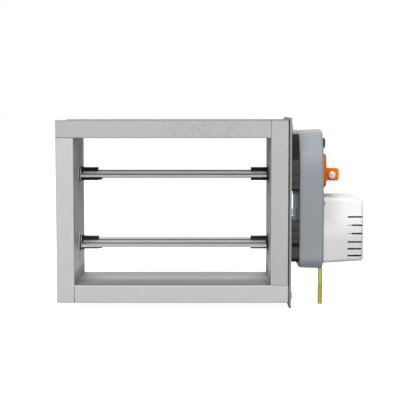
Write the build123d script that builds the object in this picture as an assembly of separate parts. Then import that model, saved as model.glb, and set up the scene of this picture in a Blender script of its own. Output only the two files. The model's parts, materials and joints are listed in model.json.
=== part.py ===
from build123d import *
import os
from math import acos, cos, pi, radians, sin, tan

# Rectangular opposed-blade air damper with a rotary actuator on its drive side.
# Origin at the centre of the duct opening, halfway through the frame.
# +X points to the drive side, +Y along the air flow, +Z up. Millimetres.

# Duct opening and frame
OPENING_WIDTH = 200.0
OPENING_HEIGHT = 150.0
FRAME_DEPTH = 100.0
FLANGE_HEIGHT = 18.0
FRAME_SHEET = 1.0
BEND_RADIUS = 1.3
RETURN_LIP = 12.0

# Angle brackets spot welded inside the frame corners
BRACKET_LEG = 15.0
BRACKET_WIDTH = 16.0
BRACKET_SHEET = 1.5
BRACKET_EDGE_GAP = 1.0

# Drive side plate, its foam strips and screws
PLATE_SHEET = 2.0
PLATE_OVERHANG_TOP = 2.4
PLATE_OVERHANG_BOTTOM = 5.8
PLATE_CORNER_RADIUS = 1.5
GASKET_THICKNESS = 1.0
PLATE_SCREW_DIAMETER = 3.9
PLATE_SCREW_HEAD_DIAMETER = 7.0
PLATE_SCREW_HEAD_HEIGHT = 1.8
PLATE_SCREW_HEAD_BEVEL = 0.9
PLATE_SCREW_POINT_DIAMETER = 0.8
PLATE_SCREW_REACH = 8.0
PLATE_SCREW_INSET = 6.5

# Blades
TIP_CLEARANCE = 1.25
BLADE_LAP = 2.5
BLADE_THICKNESS = 6.4
BLADE_EDGE_THICKNESS = 2.4
BLADE_SKIN = 1.1
BLADE_CORE_WIDTH = 10.0
LAP_LIP_WIDTH = 2.9
LAP_LIP_THICKNESS = 0.8
LAP_LIP_OFFSET = 0.4
BLADE_END_GAP = 0.4

# Blade end adapters
ADAPTER_DIAMETER = 14.0
JAW_LENGTH = 15.5
ADAPTER_WEB = 3.2
IDLE_COLLAR_DIAMETER = 16.0
IDLE_COLLAR_LENGTH = 2.0
IDLE_JOURNAL_DIAMETER = 10.0
IDLE_JOURNAL_OVERRUN = 5.0
TONGUE_THICKNESS = 2.8
TONGUE_LENGTH = 4.2
TONGUE_WIDTH = 5.0
TONGUE_GAP = 0.3
TONGUE_ROOT = 1.0
BLADE_PIN_DIAMETER = 3.0
PIN_RECESS = 0.2

# Bushes, rings and washers on the blade shafts
BUSH_FLANGE_DIAMETER = 19.0
BUSH_FLANGE_THICKNESS = 1.0
BUSH_WALL = 1.8
BUSH_REACH = 1.6
RING_DIAMETER = 18.0
RING_THICKNESS = 0.9
WASHER_THICKNESS = 0.8
STACK_GAP = 0.1
CLIP_DIAMETER = 15.0
CLIP_THICKNESS = 0.8

# Drive spindles and the meshing blade gears
SPINDLE_DIAMETER = 10.0
SPINDLE_PIN_DIAMETER = 2.4
PIN_MARGIN = 0.3
SPINDLE_SETBACK = 0.5
END_CHAMFER = 0.6
BLADE_GEAR_TEETH = 29
BLADE_GEAR_WIDTH = 6.0
BLADE_GEAR_WEB = 3.0
BLADE_GEAR_RIM = 4.5
BLADE_GEAR_HUB_DIAMETER = 20.0
BLADE_GEAR_HUB_LENGTH = 4.6
BLADE_GEAR_HOLES = 5
BLADE_GEAR_HOLE_DIAMETER = 10.0
GRUB_DIAMETER = 3.0
GRUB_RECESS = 0.3

# Tooth form shared by all gears
PRESSURE_ANGLE = 20.0
ADDENDUM = 0.8
DEDENDUM = 1.1
BACKLASH = 0.25

# Actuator casing, measured from the shaft axis and the side plate
CASE_HALF_WIDTH = 35.0
CASE_ABOVE = 47.0
CASE_BELOW = 97.8
CASE_CORNER_RADIUS = 15.0
CASE_STANDOFF = 9.5
CASE_LENGTH = 24.8
CASE_DRAFT = 2.0
CASE_WALL = 2.2
FACE_EDGE_RADIUS = 3.0
RIM_CHAMFER_LENGTH = 1.2
RIM_CHAMFER_DEPTH = 0.8
SKIRT_INSET = 0.9
SKIRT_SIDE_INSET = 9.1
SKIRT_FOOT_INSET = 7.5
SKIRT_GAP = 3.2

# Recess across the back of the casing, open on the outlet side, between the two pads
BACK_RECESS_DEPTH = 3.8
BACK_RECESS_FLANK = 1.4
BACK_SLIT_WIDTH = 0.7
BACK_SLIT_HEIGHT = 12.0

# Rubber pads between the side plate and the actuator
PAD_HALF_WIDTH = 31.0
PAD_CORNER_RADIUS = 5.0
PAD_ARCH_HEIGHT = 44.8
UPPER_PAD_TOP = 42.0
UPPER_PAD_BOTTOM = 16.2
LOWER_PAD_TOP = 47.2
LOWER_PAD_BOTTOM = 90.2
PAD_HUB_GAP = 2.0
UPPER_GROOVE_COUNT = 4
UPPER_GROOVE_SETBACK = 26.0
LOWER_GROOVE_COUNT = 3
LOWER_GROOVE_SETBACK = 10.8
PAD_GROOVE_HEIGHT = 1.6
PAD_GROOVE_DEPTH = 0.8
PAD_GROOVE_PITCH = 8.4

# Actuator gear train and motor
OUTPUT_MODULE = 1.0
OUTPUT_TEETH = 42
REDUCTION_PINION_TEETH = 14
MOTOR_MODULE = 0.8
REDUCTION_WHEEL_TEETH = 45
MOTOR_PINION_TEETH = 15
OUTPUT_HUB_DIAMETER = 16.0
TRAIN_FACE_WIDTH = 6.0
WHEEL_FACE_WIDTH = 3.5
TRAIN_END_GAP = 0.3
TRAIN_STEP = 1.0
AXLE_DIAMETER = 3.0
REDUCTION_HUB_DIAMETER = 9.0
MOTOR_DIAMETER = 28.0
MOTOR_FACE_GAP = 0.5
MOTOR_SHAFT_DIAMETER = 2.4
MOTOR_SHAFT_DEPTH = 4.0
PINION_GAP = 0.2
PINION_OVERRUN = 0.8

# Release button and its spring
BUTTON_DIAMETER = 11.0
BUTTON_HEIGHT = 32.2
BUTTON_TRAVEL = 2.5
BUTTON_PRESSED_STAND = 1.3
BUTTON_DOME = 1.4
BUTTON_GUIDE_DEPTH = 4.5
BUTTON_FLANGE_DIAMETER = 14.0
BUTTON_FLANGE_THICKNESS = 1.2
SPRING_DIAMETER = 7.0
SPRING_WIRE = 0.7
SPRING_TURNS = 4
SPRING_STEPS = 16
SPRING_LENGTH = 9.0

# Spindle clamp on the casing face
CLAMP_DISC_RADIUS = 14.4
CLAMP_POINTER_REACH = 20.9
CLAMP_NOSE_RADIUS = 7.2
CLAMP_DISC_THICKNESS = 4.4
CLAMP_RISE = 0.9
CLAMP_BLOCK_HEIGHT = 12.8
CLAMP_BLOCK_DEPTH = 18.0
CLAMP_BLOCK_LENGTH = 12.2
CLAMP_BLOCK_DROP = 0.5
CLAMP_BLOCK_BOW = 0.8
CLAMP_FACE_GAP = 0.4
CLAMP_BEVEL = 1.0
CLAMP_BLOCK_RADIUS = 1.2
CLAMP_SCREW_SETBACK = 0.9
CLAMP_SCREW_DROP = 0.9
CLAMP_SCREW_DIAMETER = 4.0
CLAMP_SCREW_HEAD_DIAMETER = 8.2
CLAMP_SCREW_HEAD_HEIGHT = 3.0
CLAMP_SCREW_HEAD_BEVEL = 1.2

# Vented terminal cover on the casing face
COVER_LENGTH = 41.2
COVER_HALF_WIDTH = 33.0
COVER_WALL = 1.8
COVER_TOP = -22.2
COVER_BOTTOM = -90.9
COVER_TIP_RISE = 2.4
COVER_TIP_DROP = 0.6
COVER_TOP_RADIUS = 8.0
COVER_BOTTOM_RADIUS = 2.6
COVER_SIDE_RADIUS = 4.0
VENT_LENGTH = 14.4
VENT_HEIGHT = 1.7
VENT_TIP_INSET = 1.9
VENT_FIRST = 20.6
VENT_UPPER_COUNT = 4
VENT_UPPER_PITCH = 8.65
VENT_LOWER_COUNT = 2
VENT_LOWER_PITCH = 7.1
VENT_WRAPPED_COUNT = 3
VENT_WRAP = 5.0
VENT_SHORT_LENGTH = 10.0
VENT_SHORT_FIRST = 1
VENT_SHORT_LAST = 2
VENT_GROOVE_HEIGHT = 0.8
VENT_GROOVE_DEPTH = 0.5
TOP_SLOT_COUNT = 4
TOP_SLOT_SETBACK = 2.2
TOP_SLOT_PITCH = 1.9
TOP_SLOT_LENGTH = 1.2
TOP_SLOT_WIDTH = 12.0
TOP_SLOT_SHIFT = 13.0

# Electronics behind the terminal cover
BOARD_THICKNESS = 1.6
BOARD_WIDTH = 56.0
BOARD_HEIGHT = 56.0
BOARD_STANDOFF = 2.0
BOARD_FOOT_DIAMETER = 5.0
BOARD_FOOT_INSET = 4.0
TERMINAL_BLOCK_WIDTH = 44.0
TERMINAL_BLOCK_HEIGHT = 12.0
TERMINAL_BLOCK_DEPTH = 14.0
TERMINAL_WAYS = 7
TERMINAL_HOLE_DIAMETER = 4.4
TERMINAL_HOLE_DEPTH = 4.0
RELAY_WIDTH = 28.0
RELAY_HEIGHT = 17.4
RELAY_REACH = 32.0
RELAY_BOARD_MARGIN = 0.3
RELAY_CORNER_RADIUS = 1.0

# Casing screws: four from the back into long posts, one at the top of the face
CASE_SCREW_DIAMETER = 2.6
CASE_SCREW_HEAD_DIAMETER = 4.2
CASE_SCREW_HEAD_HEIGHT = 1.3
CASE_SCREW_REACH = 12.0
CASE_POST_WALL = 1.4
POST_SPREAD = 21.0
POST_DROP_UPPER = 21.2
POST_DROP_LOWER = 42.2
TOP_SCREW_RISE = 41.6
TOP_SCREW_REACH = 6.0

# Snap nubs of the terminal cover, on the casing face
NUB_WIDTH = 1.4
NUB_HEIGHT = 2.8
NUB_STAND = 1.0
NUB_DROP = 28.3

# Two short yellow-green leads hanging from the casing
LEAD_DIAMETER = 1.6
LEAD_SLEEVE_DIAMETER = 2.2
LEAD_LENGTH = 39.0
LEAD_SLEEVE_LENGTH = 19.8
LEAD_SETBACK = 3.7
LEAD_SPACING = 2.4
LEAD_OUT = 24.0
LEAD_HOLE_DEPTH = 12.0

# Clearances
RUNNING_CLEARANCE = 0.05
FIXED_CLEARANCE = 0.02
HOLE_CLEARANCE = 0.25
CUT_OVERRUN = 1.0

# Places worked out from the driving dimensions
HALF_WIDTH = OPENING_WIDTH / 2
HALF_HEIGHT = OPENING_HEIGHT / 2
HALF_DEPTH = FRAME_DEPTH / 2
BLADE_PITCH = HALF_HEIGHT - TIP_CLEARANCE - BLADE_LAP / 2
BLADE_CHORD = BLADE_PITCH + BLADE_LAP
SHAFT_Z = BLADE_PITCH / 2
PLATE_INNER_X = HALF_WIDTH + FLANGE_HEIGHT + GASKET_THICKNESS
PLATE_OUTER_X = PLATE_INNER_X + PLATE_SHEET
RIM_X = PLATE_OUTER_X + CASE_STANDOFF
FACE_X = RIM_X + CASE_LENGTH
SKIRT_X = PLATE_OUTER_X + SKIRT_GAP
SCREW_Y = HALF_DEPTH - RETURN_LIP / 2
SCREW_Z = HALF_HEIGHT + FLANGE_HEIGHT - PLATE_SCREW_INSET


def write(name, shape):
    """Write one piece, or a group of like pieces, to its own file."""
    shape.label = name
    export_step(shape, f"parts/{name}.step")


def slab(sketch, start, end):
    """Extrude a sketch drawn in Y and Z from X = start to X = end."""
    return extrude(Plane.YZ.offset(start) * sketch, amount=end - start)


def rod(start, end, diameter, z=0.0, y=0.0):
    """Round bar along X."""
    return slab(Pos(y, z) * Circle(diameter / 2), start, end)


def tube(start, end, outer, inner, z=0.0):
    """Round tube along X."""
    return rod(start, end, outer, z) - rod(start, end, inner, z)


def upright(diameter, low, high, x, y=0.0):
    """Round bar along Z."""
    return Pos(x, y, (low + high) / 2) * Cylinder(diameter / 2, high - low)


def block(start, end):
    """Box between two opposite corners."""
    size = Vector(*end) - Vector(*start)
    middle = (Vector(*start) + Vector(*end)) / 2
    return Pos(*middle) * Box(size.X, size.Y, size.Z)


def channel_section(with_lips):
    """Folded channel: web along local X at the bottom, legs up, lips turned inwards."""
    bends = 4 if with_lips else 2
    outer = Pos(0, FLANGE_HEIGHT / 2) * Rectangle(FRAME_DEPTH, FLANGE_HEIGHT)
    outer = fillet(outer.vertices().sort_by(Axis.Y)[:bends], BEND_RADIUS)
    room = FLANGE_HEIGHT - FRAME_SHEET - (FRAME_SHEET if with_lips else 0)
    inner = Pos(0, FRAME_SHEET + room / 2) * Rectangle(FRAME_DEPTH - 2 * FRAME_SHEET, room)
    inner = fillet(inner.vertices().sort_by(Axis.Y)[:bends], BEND_RADIUS - FRAME_SHEET)
    mouth = Pos(0, FLANGE_HEIGHT) * Rectangle(FRAME_DEPTH - 2 * RETURN_LIP, 3 * FRAME_SHEET)
    return outer - inner - mouth if with_lips else outer - inner


def frame_member(half_run, half_gap, quarter_turns, with_lips=False):
    """Channel that butts on the next one at its plain end and overlaps it at the other."""
    section = Pos(0, half_gap) * channel_section(with_lips)
    member = slab(section, -half_run - FLANGE_HEIGHT, half_run)
    return Rot(0, 90 * quarter_turns, 0) * member


def on_both_sides(shape):
    """The shape and its mirror image across the middle of the frame's depth."""
    return [shape, mirror(shape, Plane.XZ)]


def end_tabs():
    """Tabs folded across the drive end of the bottom channel."""
    outer_x = HALF_WIDTH + FLANGE_HEIGHT
    start = (outer_x - FRAME_SHEET, HALF_DEPTH - RETURN_LIP, -HALF_HEIGHT - FLANGE_HEIGHT)
    end = (outer_x, HALF_DEPTH - FRAME_SHEET, -HALF_HEIGHT - FRAME_SHEET)
    return on_both_sides(block(start, end))


def plate_screw_places():
    """Y and Z of the six screws of the side plate."""
    return [(y, z) for y in (-SCREW_Y, SCREW_Y) for z in (-SCREW_Z, 0.0, SCREW_Z)]


def screw_holes(diameter, start, end):
    """Bores for the side plate screws between two X positions."""
    return [rod(start, end, diameter, z, y) for y, z in plate_screw_places()]


def frame_holes(x, diameter):
    """Bores through a side wall for the bushes of both shafts."""
    start = x - CUT_OVERRUN
    end = x + FRAME_SHEET + CUT_OVERRUN
    return [rod(start, end, diameter, z) for z in (-SHAFT_Z, SHAFT_Z)]


def make_frame():
    """Four channels that chase each other round the opening, with angle brackets in the corners."""
    lip_x = HALF_WIDTH + FLANGE_HEIGHT
    bores = screw_holes(PLATE_SCREW_DIAMETER + 2 * FIXED_CLEARANCE, lip_x - 2 * FRAME_SHEET, lip_x)
    idle_bore = IDLE_JOURNAL_DIAMETER + 2 * BUSH_WALL + 2 * FIXED_CLEARANCE
    drive_bore = ADAPTER_DIAMETER + 2 * BUSH_WALL + 2 * FIXED_CLEARANCE
    right = frame_member(HALF_HEIGHT, HALF_WIDTH, 1, with_lips=True)
    bottom = frame_member(HALF_WIDTH, HALF_HEIGHT, 2) + end_tabs()
    left = frame_member(HALF_HEIGHT, HALF_WIDTH, 3)
    write("frame_top", frame_member(HALF_WIDTH, HALF_HEIGHT, 0))
    write("frame_right", right - bores - frame_holes(HALF_WIDTH, drive_bore))
    write("frame_bottom", bottom - bores)
    write("frame_left", left - frame_holes(-HALF_WIDTH - FRAME_SHEET, idle_bore))


def corner_bracket(half_run, half_gap, quarter_turns):
    """Angle in the plain end of a channel, on its web and on the wall it butts on."""
    corner_z = half_gap + FRAME_SHEET
    profile = Rectangle(BRACKET_LEG, BRACKET_LEG, align=(Align.MAX, Align.MIN))
    cut = Rectangle(BRACKET_LEG, BRACKET_LEG, align=(Align.MAX, Align.MIN))
    angle = profile - Pos(-BRACKET_SHEET, BRACKET_SHEET) * cut
    high_y = HALF_DEPTH - FRAME_SHEET - BRACKET_EDGE_GAP
    plane = Plane(origin=(half_run, high_y, corner_z), x_dir=(1, 0, 0), z_dir=(0, -1, 0))
    piece = extrude(plane * angle, amount=BRACKET_WIDTH)
    return [Rot(0, 90 * quarter_turns, 0) * side for side in on_both_sides(piece)]


def make_corner_brackets():
    """Two angle brackets in each of the four corners."""
    pieces = []
    for quarter in range(4):
        run, gap = (HALF_WIDTH, HALF_HEIGHT) if quarter % 2 == 0 else (HALF_HEIGHT, HALF_WIDTH)
        pieces += corner_bracket(run, gap, quarter)
    write("corner_brackets", Compound(pieces))


def make_side_plate():
    """Side plate that closes the gear channel, its foam strips and its screws."""
    top = HALF_HEIGHT + FLANGE_HEIGHT + PLATE_OVERHANG_TOP
    bottom = -HALF_HEIGHT - FLANGE_HEIGHT - PLATE_OVERHANG_BOTTOM
    outline = RectangleRounded(FRAME_DEPTH, top - bottom, PLATE_CORNER_RADIUS)
    outline = Pos(0, (top + bottom) / 2) * outline
    bore = SPINDLE_DIAMETER + 2 * BUSH_WALL + 2 * FIXED_CLEARANCE
    plate = slab(outline, PLATE_INNER_X, PLATE_OUTER_X)
    plate -= [rod(PLATE_INNER_X, PLATE_OUTER_X, bore, z) for z in (-SHAFT_Z, SHAFT_Z)]
    clear_bores = screw_holes(PLATE_SCREW_DIAMETER + 2 * HOLE_CLEARANCE, HALF_WIDTH, PLATE_OUTER_X)
    write("drive_side_plate", plate - clear_bores)
    flange_x = HALF_WIDTH + FLANGE_HEIGHT
    half_strip = HALF_HEIGHT + FLANGE_HEIGHT
    start = (flange_x, HALF_DEPTH - RETURN_LIP, -half_strip)
    strip = block(start, (PLATE_INNER_X, HALF_DEPTH, half_strip))
    write("plate_gasket", Compound([side - clear_bores for side in on_both_sides(strip)]))
    write("plate_screws", Compound([plate_screw(y, z) for y, z in plate_screw_places()]))


def plate_screw(y, z):
    """Pan head sheet metal screw, driven from outside."""
    tip_x = PLATE_OUTER_X - PLATE_SCREW_REACH
    shank = rod(tip_x, PLATE_OUTER_X, PLATE_SCREW_DIAMETER, z, y)
    point = (PLATE_SCREW_DIAMETER - PLATE_SCREW_POINT_DIAMETER) / 2
    shank = chamfer(shank.edges().group_by(Axis.X)[0], point)
    head_x = PLATE_OUTER_X + PLATE_SCREW_HEAD_HEIGHT
    head = rod(PLATE_OUTER_X, head_x, PLATE_SCREW_HEAD_DIAMETER, z, y)
    head = chamfer(head.edges().group_by(Axis.X)[-1], PLATE_SCREW_HEAD_BEVEL)
    return head + shank


def lens(half_chord, edge_half, middle_half):
    """Blade section between two shallow arcs, flat at its edges."""
    rim = Line((half_chord, -edge_half), (half_chord, edge_half))
    top = ThreePointArc((half_chord, edge_half), (0, middle_half), (-half_chord, edge_half))
    other_rim = Line((-half_chord, edge_half), (-half_chord, -edge_half))
    under = ThreePointArc((-half_chord, -edge_half), (0, -middle_half), (half_chord, -edge_half))
    return make_face(Curve() + [rim, top, other_rim, under])


def blade_section():
    """Hollow extruded blade with a solid core and a lap lip on each edge."""
    body_half = BLADE_CHORD / 2 - LAP_LIP_WIDTH
    edge_half = BLADE_EDGE_THICKNESS / 2
    middle_half = BLADE_THICKNESS / 2
    body = lens(body_half, edge_half, middle_half)
    hollow = lens(body_half - BLADE_SKIN, edge_half - BLADE_SKIN / 2, middle_half - BLADE_SKIN)
    core = Rectangle(BLADE_CORE_WIDTH, BLADE_THICKNESS)
    lip = Pos(body_half + LAP_LIP_WIDTH / 2, LAP_LIP_OFFSET + LAP_LIP_THICKNESS / 2)
    lip = lip * Rectangle(LAP_LIP_WIDTH, LAP_LIP_THICKNESS)
    return body - (hollow - core) + lip + Rot(0, 0, 180) * lip


def blade_end_x():
    """X of the drive end of a blade, inside the web of its adapter."""
    return HALF_WIDTH - ADAPTER_WEB - BLADE_END_GAP


def idle_collar_x():
    """Distance from the middle to the inner face of the idle collar."""
    stack = BUSH_FLANGE_THICKNESS + RING_THICKNESS + WASHER_THICKNESS + 3 * STACK_GAP
    return HALF_WIDTH - stack - IDLE_COLLAR_LENGTH


def pin_x_places():
    """X of the pins that hold a blade in its two adapters."""
    return (-idle_collar_x() + JAW_LENGTH / 2, HALF_WIDTH - ADAPTER_WEB - JAW_LENGTH / 2)


def blade_pin_bores(z):
    """Bores of the blade pins."""
    reach = ADAPTER_DIAMETER / 2 + CUT_OVERRUN
    bore = BLADE_PIN_DIAMETER + 2 * FIXED_CLEARANCE
    return [upright(bore, z - reach, z + reach, x) for x in pin_x_places()]


def make_blade(prefix, z):
    """Blade and the two pins that hold it in its adapters."""
    idle_end = -idle_collar_x() + BLADE_END_GAP
    body = slab(Pos(0, z) * blade_section(), idle_end, blade_end_x())
    write(f"{prefix}_blade", body - blade_pin_bores(z))
    reach = ADAPTER_DIAMETER / 2 - PIN_RECESS
    pins = [upright(BLADE_PIN_DIAMETER, z - reach, z + reach, x) for x in pin_x_places()]
    write(f"{prefix}_blade_pins", Compound(pins))


def jaw_slot(start, end, z):
    """Slot that the blade slides into."""
    half = BLADE_THICKNESS / 2 + RUNNING_CLEARANCE
    return block((start, -ADAPTER_DIAMETER, z - half), (end, ADAPTER_DIAMETER, z + half))


def make_idle_adapter(prefix, z):
    """Slotted end piece with its collar, journal and locking tongue."""
    inner = -idle_collar_x()
    outer = inner - IDLE_COLLAR_LENGTH
    mouth = inner + JAW_LENGTH
    jaws = rod(inner, mouth, ADAPTER_DIAMETER, z) - jaw_slot(inner, mouth, z)
    collar = rod(outer, inner, IDLE_COLLAR_DIAMETER, z)
    journal_end = -HALF_WIDTH - IDLE_JOURNAL_OVERRUN
    journal = rod(journal_end, outer, IDLE_JOURNAL_DIAMETER, z)
    journal = chamfer(journal.edges().group_by(Axis.X)[0], END_CHAMFER)
    adapter = collar + jaws + journal + locking_tongue(mouth, z)
    write(f"{prefix}_idle_adapter", adapter - blade_pin_bores(z))


def locking_tongue(start, z):
    """Round-nosed tongue under the blade, at the mouth of the idle adapter."""
    top = z - BLADE_THICKNESS / 2 - RUNNING_CLEARANCE - TONGUE_GAP
    nose_x = start + TONGUE_LENGTH - TONGUE_THICKNESS / 2
    middle_z = top - TONGUE_THICKNESS / 2
    half = TONGUE_WIDTH / 2
    strip = block((start - TONGUE_ROOT, -half, top - TONGUE_THICKNESS), (nose_x, half, top))
    nose = Pos(nose_x, 0, middle_z) * Rot(90, 0, 0) * Cylinder(TONGUE_THICKNESS / 2, TONGUE_WIDTH)
    return strip + nose


def drive_boss_x():
    """X of the outer end of the drive adapter, just past its cross pin."""
    return HALF_WIDTH + FRAME_SHEET + BUSH_REACH + SPINDLE_PIN_DIAMETER + 2 * PIN_MARGIN


def spindle_pin_x():
    """X of the cross pin through the drive adapter and its spindle."""
    return drive_boss_x() - SPINDLE_PIN_DIAMETER / 2 - PIN_MARGIN


def make_drive_adapter(prefix, z):
    """Slotted end piece whose boss runs through the wall bush and holds the spindle."""
    web_x = HALF_WIDTH - ADAPTER_WEB
    mouth = web_x - JAW_LENGTH
    jaws = rod(mouth, web_x, ADAPTER_DIAMETER, z) - jaw_slot(mouth, web_x, z)
    boss = rod(web_x, drive_boss_x(), ADAPTER_DIAMETER, z)
    socket = rod(web_x + BLADE_END_GAP, drive_boss_x(), SPINDLE_DIAMETER + 2 * FIXED_CLEARANCE, z)
    adapter = jaws + boss - socket - blade_pin_bores(z) - spindle_pin_bore(z)
    write(f"{prefix}_drive_adapter", adapter)


def spindle_pin_bore(z):
    """Bore of the cross pin."""
    reach = ADAPTER_DIAMETER / 2 + CUT_OVERRUN
    bore = SPINDLE_PIN_DIAMETER + 2 * FIXED_CLEARANCE
    return upright(bore, z - reach, z + reach, spindle_pin_x())


def make_idle_bearing(prefix, z):
    """Flanged bush in the wall, friction ring, thrust washer and retaining clip."""
    bore = IDLE_JOURNAL_DIAMETER + 2 * RUNNING_CLEARANCE
    wall_x = -HALF_WIDTH
    bush_end = wall_x - FRAME_SHEET - BUSH_REACH
    flange = tube(wall_x, wall_x + BUSH_FLANGE_THICKNESS, BUSH_FLANGE_DIAMETER, bore, z)
    sleeve = tube(bush_end, wall_x, IDLE_JOURNAL_DIAMETER + 2 * BUSH_WALL, bore, z)
    write(f"{prefix}_idle_bush", flange + sleeve)
    ring_x = wall_x + BUSH_FLANGE_THICKNESS + STACK_GAP
    ring_end = ring_x + RING_THICKNESS
    write(f"{prefix}_friction_ring", tube(ring_x, ring_end, RING_DIAMETER, bore, z))
    washer_x = ring_end + STACK_GAP
    washer = tube(washer_x, washer_x + WASHER_THICKNESS, RING_DIAMETER, bore, z)
    write(f"{prefix}_thrust_washer", washer)
    clip_x = bush_end - STACK_GAP
    clip_bore = IDLE_JOURNAL_DIAMETER + 2 * FIXED_CLEARANCE
    write(f"{prefix}_idle_clip", tube(clip_x - CLIP_THICKNESS, clip_x, CLIP_DIAMETER, clip_bore, z))


def make_drive_bearings(prefix, z):
    """Flanged bushes in the drive side wall and in the side plate."""
    bore = ADAPTER_DIAMETER + 2 * RUNNING_CLEARANCE
    flange = tube(HALF_WIDTH - BUSH_FLANGE_THICKNESS, HALF_WIDTH, BUSH_FLANGE_DIAMETER, bore, z)
    sleeve_end = HALF_WIDTH + FRAME_SHEET + BUSH_REACH
    sleeve = tube(HALF_WIDTH, sleeve_end, ADAPTER_DIAMETER + 2 * BUSH_WALL, bore, z)
    write(f"{prefix}_drive_bush", flange + sleeve)
    bore = SPINDLE_DIAMETER + 2 * RUNNING_CLEARANCE
    flange_x = PLATE_INNER_X - BUSH_FLANGE_THICKNESS
    flange = tube(flange_x, PLATE_INNER_X, BUSH_FLANGE_DIAMETER, bore, z)
    sleeve = tube(PLATE_INNER_X, PLATE_OUTER_X, SPINDLE_DIAMETER + 2 * BUSH_WALL, bore, z)
    write(f"{prefix}_plate_bush", flange + sleeve)


def make_spindle(prefix, name, z, end):
    """Steel spindle held in the drive adapter by a cross pin."""
    start = HALF_WIDTH - ADAPTER_WEB + BLADE_END_GAP + FIXED_CLEARANCE
    spindle = rod(start, end, SPINDLE_DIAMETER, z)
    spindle = chamfer(spindle.edges().group_by(Axis.X)[-1], END_CHAMFER)
    write(name, spindle - spindle_pin_bore(z))
    reach = ADAPTER_DIAMETER / 2 - PIN_RECESS
    pin = upright(SPINDLE_PIN_DIAMETER, z - reach, z + reach, spindle_pin_x())
    write(f"{prefix}_spindle_pin", pin)


def involute(radius, base_radius):
    """Polar angle of an involute at a radius."""
    slope = acos(min(1.0, base_radius / radius))
    return tan(slope) - slope


def flank_points(teeth, module):
    """Radius and half angle of a tooth at the root, on the flank and at the tip."""
    pitch_radius = module * teeth / 2
    base_radius = pitch_radius * cos(radians(PRESSURE_ANGLE))
    root_radius = pitch_radius - DEDENDUM * module
    tip_radius = pitch_radius + ADDENDUM * module
    half_angle = (pi * pitch_radius / teeth - BACKLASH) / (2 * pitch_radius)
    at_pitch = half_angle + involute(pitch_radius, base_radius)
    flank_start = max(base_radius, root_radius)
    radii = [flank_start, (flank_start + pitch_radius) / 2, pitch_radius, tip_radius]
    points = [(radius, at_pitch - involute(radius, base_radius)) for radius in radii]
    return [(root_radius, points[0][1])] + points if root_radius < flank_start else points


def gear_outline(teeth, module, turned):
    """Toothed outline with one tooth centred on the angle turned, in degrees."""
    half = flank_points(teeth, module)
    corners = []
    for tooth in range(teeth):
        middle = radians(turned) + 2 * pi * tooth / teeth
        sides = [(radius, middle - angle) for radius, angle in half]
        sides += [(radius, middle + angle) for radius, angle in reversed(half)]
        corners += [(radius * cos(angle), radius * sin(angle)) for radius, angle in sides]
    return make_face(Polyline(*corners, close=True))


def blade_gear_module():
    """Module that brings the two blade gears into mesh at the blade pitch."""
    return BLADE_PITCH / BLADE_GEAR_TEETH


def make_blade_gear(prefix, z, tooth_angle):
    """Moulded gear with a recessed web, its hub and its grub screw."""
    module = blade_gear_module()
    start = drive_boss_x() + TRAIN_END_GAP
    end = start + BLADE_GEAR_WIDTH
    hub_end = end + BLADE_GEAR_HUB_LENGTH
    gear = slab(Pos(0, z) * gear_outline(BLADE_GEAR_TEETH, module, tooth_angle), start, end)
    rim_radius = BLADE_PITCH / 2 - DEDENDUM * module - BLADE_GEAR_RIM
    depth = (BLADE_GEAR_WIDTH - BLADE_GEAR_WEB) / 2
    recess = tube(start, start + depth, 2 * rim_radius, BLADE_GEAR_HUB_DIAMETER, z)
    gear -= [recess, Pos(BLADE_GEAR_WIDTH - depth, 0, 0) * recess]
    hole_radius = (rim_radius + BLADE_GEAR_HUB_DIAMETER / 2) / 2
    for hole in range(BLADE_GEAR_HOLES):
        angle = 2 * pi * hole / BLADE_GEAR_HOLES
        place = (z + hole_radius * sin(angle), hole_radius * cos(angle))
        gear -= rod(start, end, BLADE_GEAR_HOLE_DIAMETER, *place)
    gear += rod(end, hub_end, BLADE_GEAR_HUB_DIAMETER, z)
    gear -= rod(start, hub_end, SPINDLE_DIAMETER + 2 * FIXED_CLEARANCE, z)
    grub_x = end + BLADE_GEAR_HUB_LENGTH / 2
    low = z + SPINDLE_DIAMETER / 2 + FIXED_CLEARANCE
    high = z + BLADE_GEAR_HUB_DIAMETER / 2
    gear -= upright(GRUB_DIAMETER + 2 * FIXED_CLEARANCE, z, high + CUT_OVERRUN, grub_x)
    write(f"{prefix}_gear", gear)
    write(f"{prefix}_gear_screw", upright(GRUB_DIAMETER, low, high - GRUB_RECESS, grub_x))


def clamp_end_x():
    """X of the free end of the spindle clamp's block."""
    return FACE_X + CLAMP_FACE_GAP + CLAMP_DISC_THICKNESS + CLAMP_RISE + CLAMP_BLOCK_LENGTH


def make_blade_sets():
    """Both blades with everything that carries and turns them."""
    half_tooth = 180 / BLADE_GEAR_TEETH
    for prefix, z, tooth_angle in (("upper", SHAFT_Z, -90), ("lower", -SHAFT_Z, 90 + half_tooth)):
        make_blade(prefix, z)
        make_idle_adapter(prefix, z)
        make_drive_adapter(prefix, z)
        make_idle_bearing(prefix, z)
        make_drive_bearings(prefix, z)
        make_blade_gear(prefix, z, tooth_angle)
    make_spindle("upper", "drive_spindle", SHAFT_Z, clamp_end_x() - SPINDLE_SETBACK)
    make_spindle("lower", "idle_spindle", -SHAFT_Z, PLATE_OUTER_X - SPINDLE_SETBACK)


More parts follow.
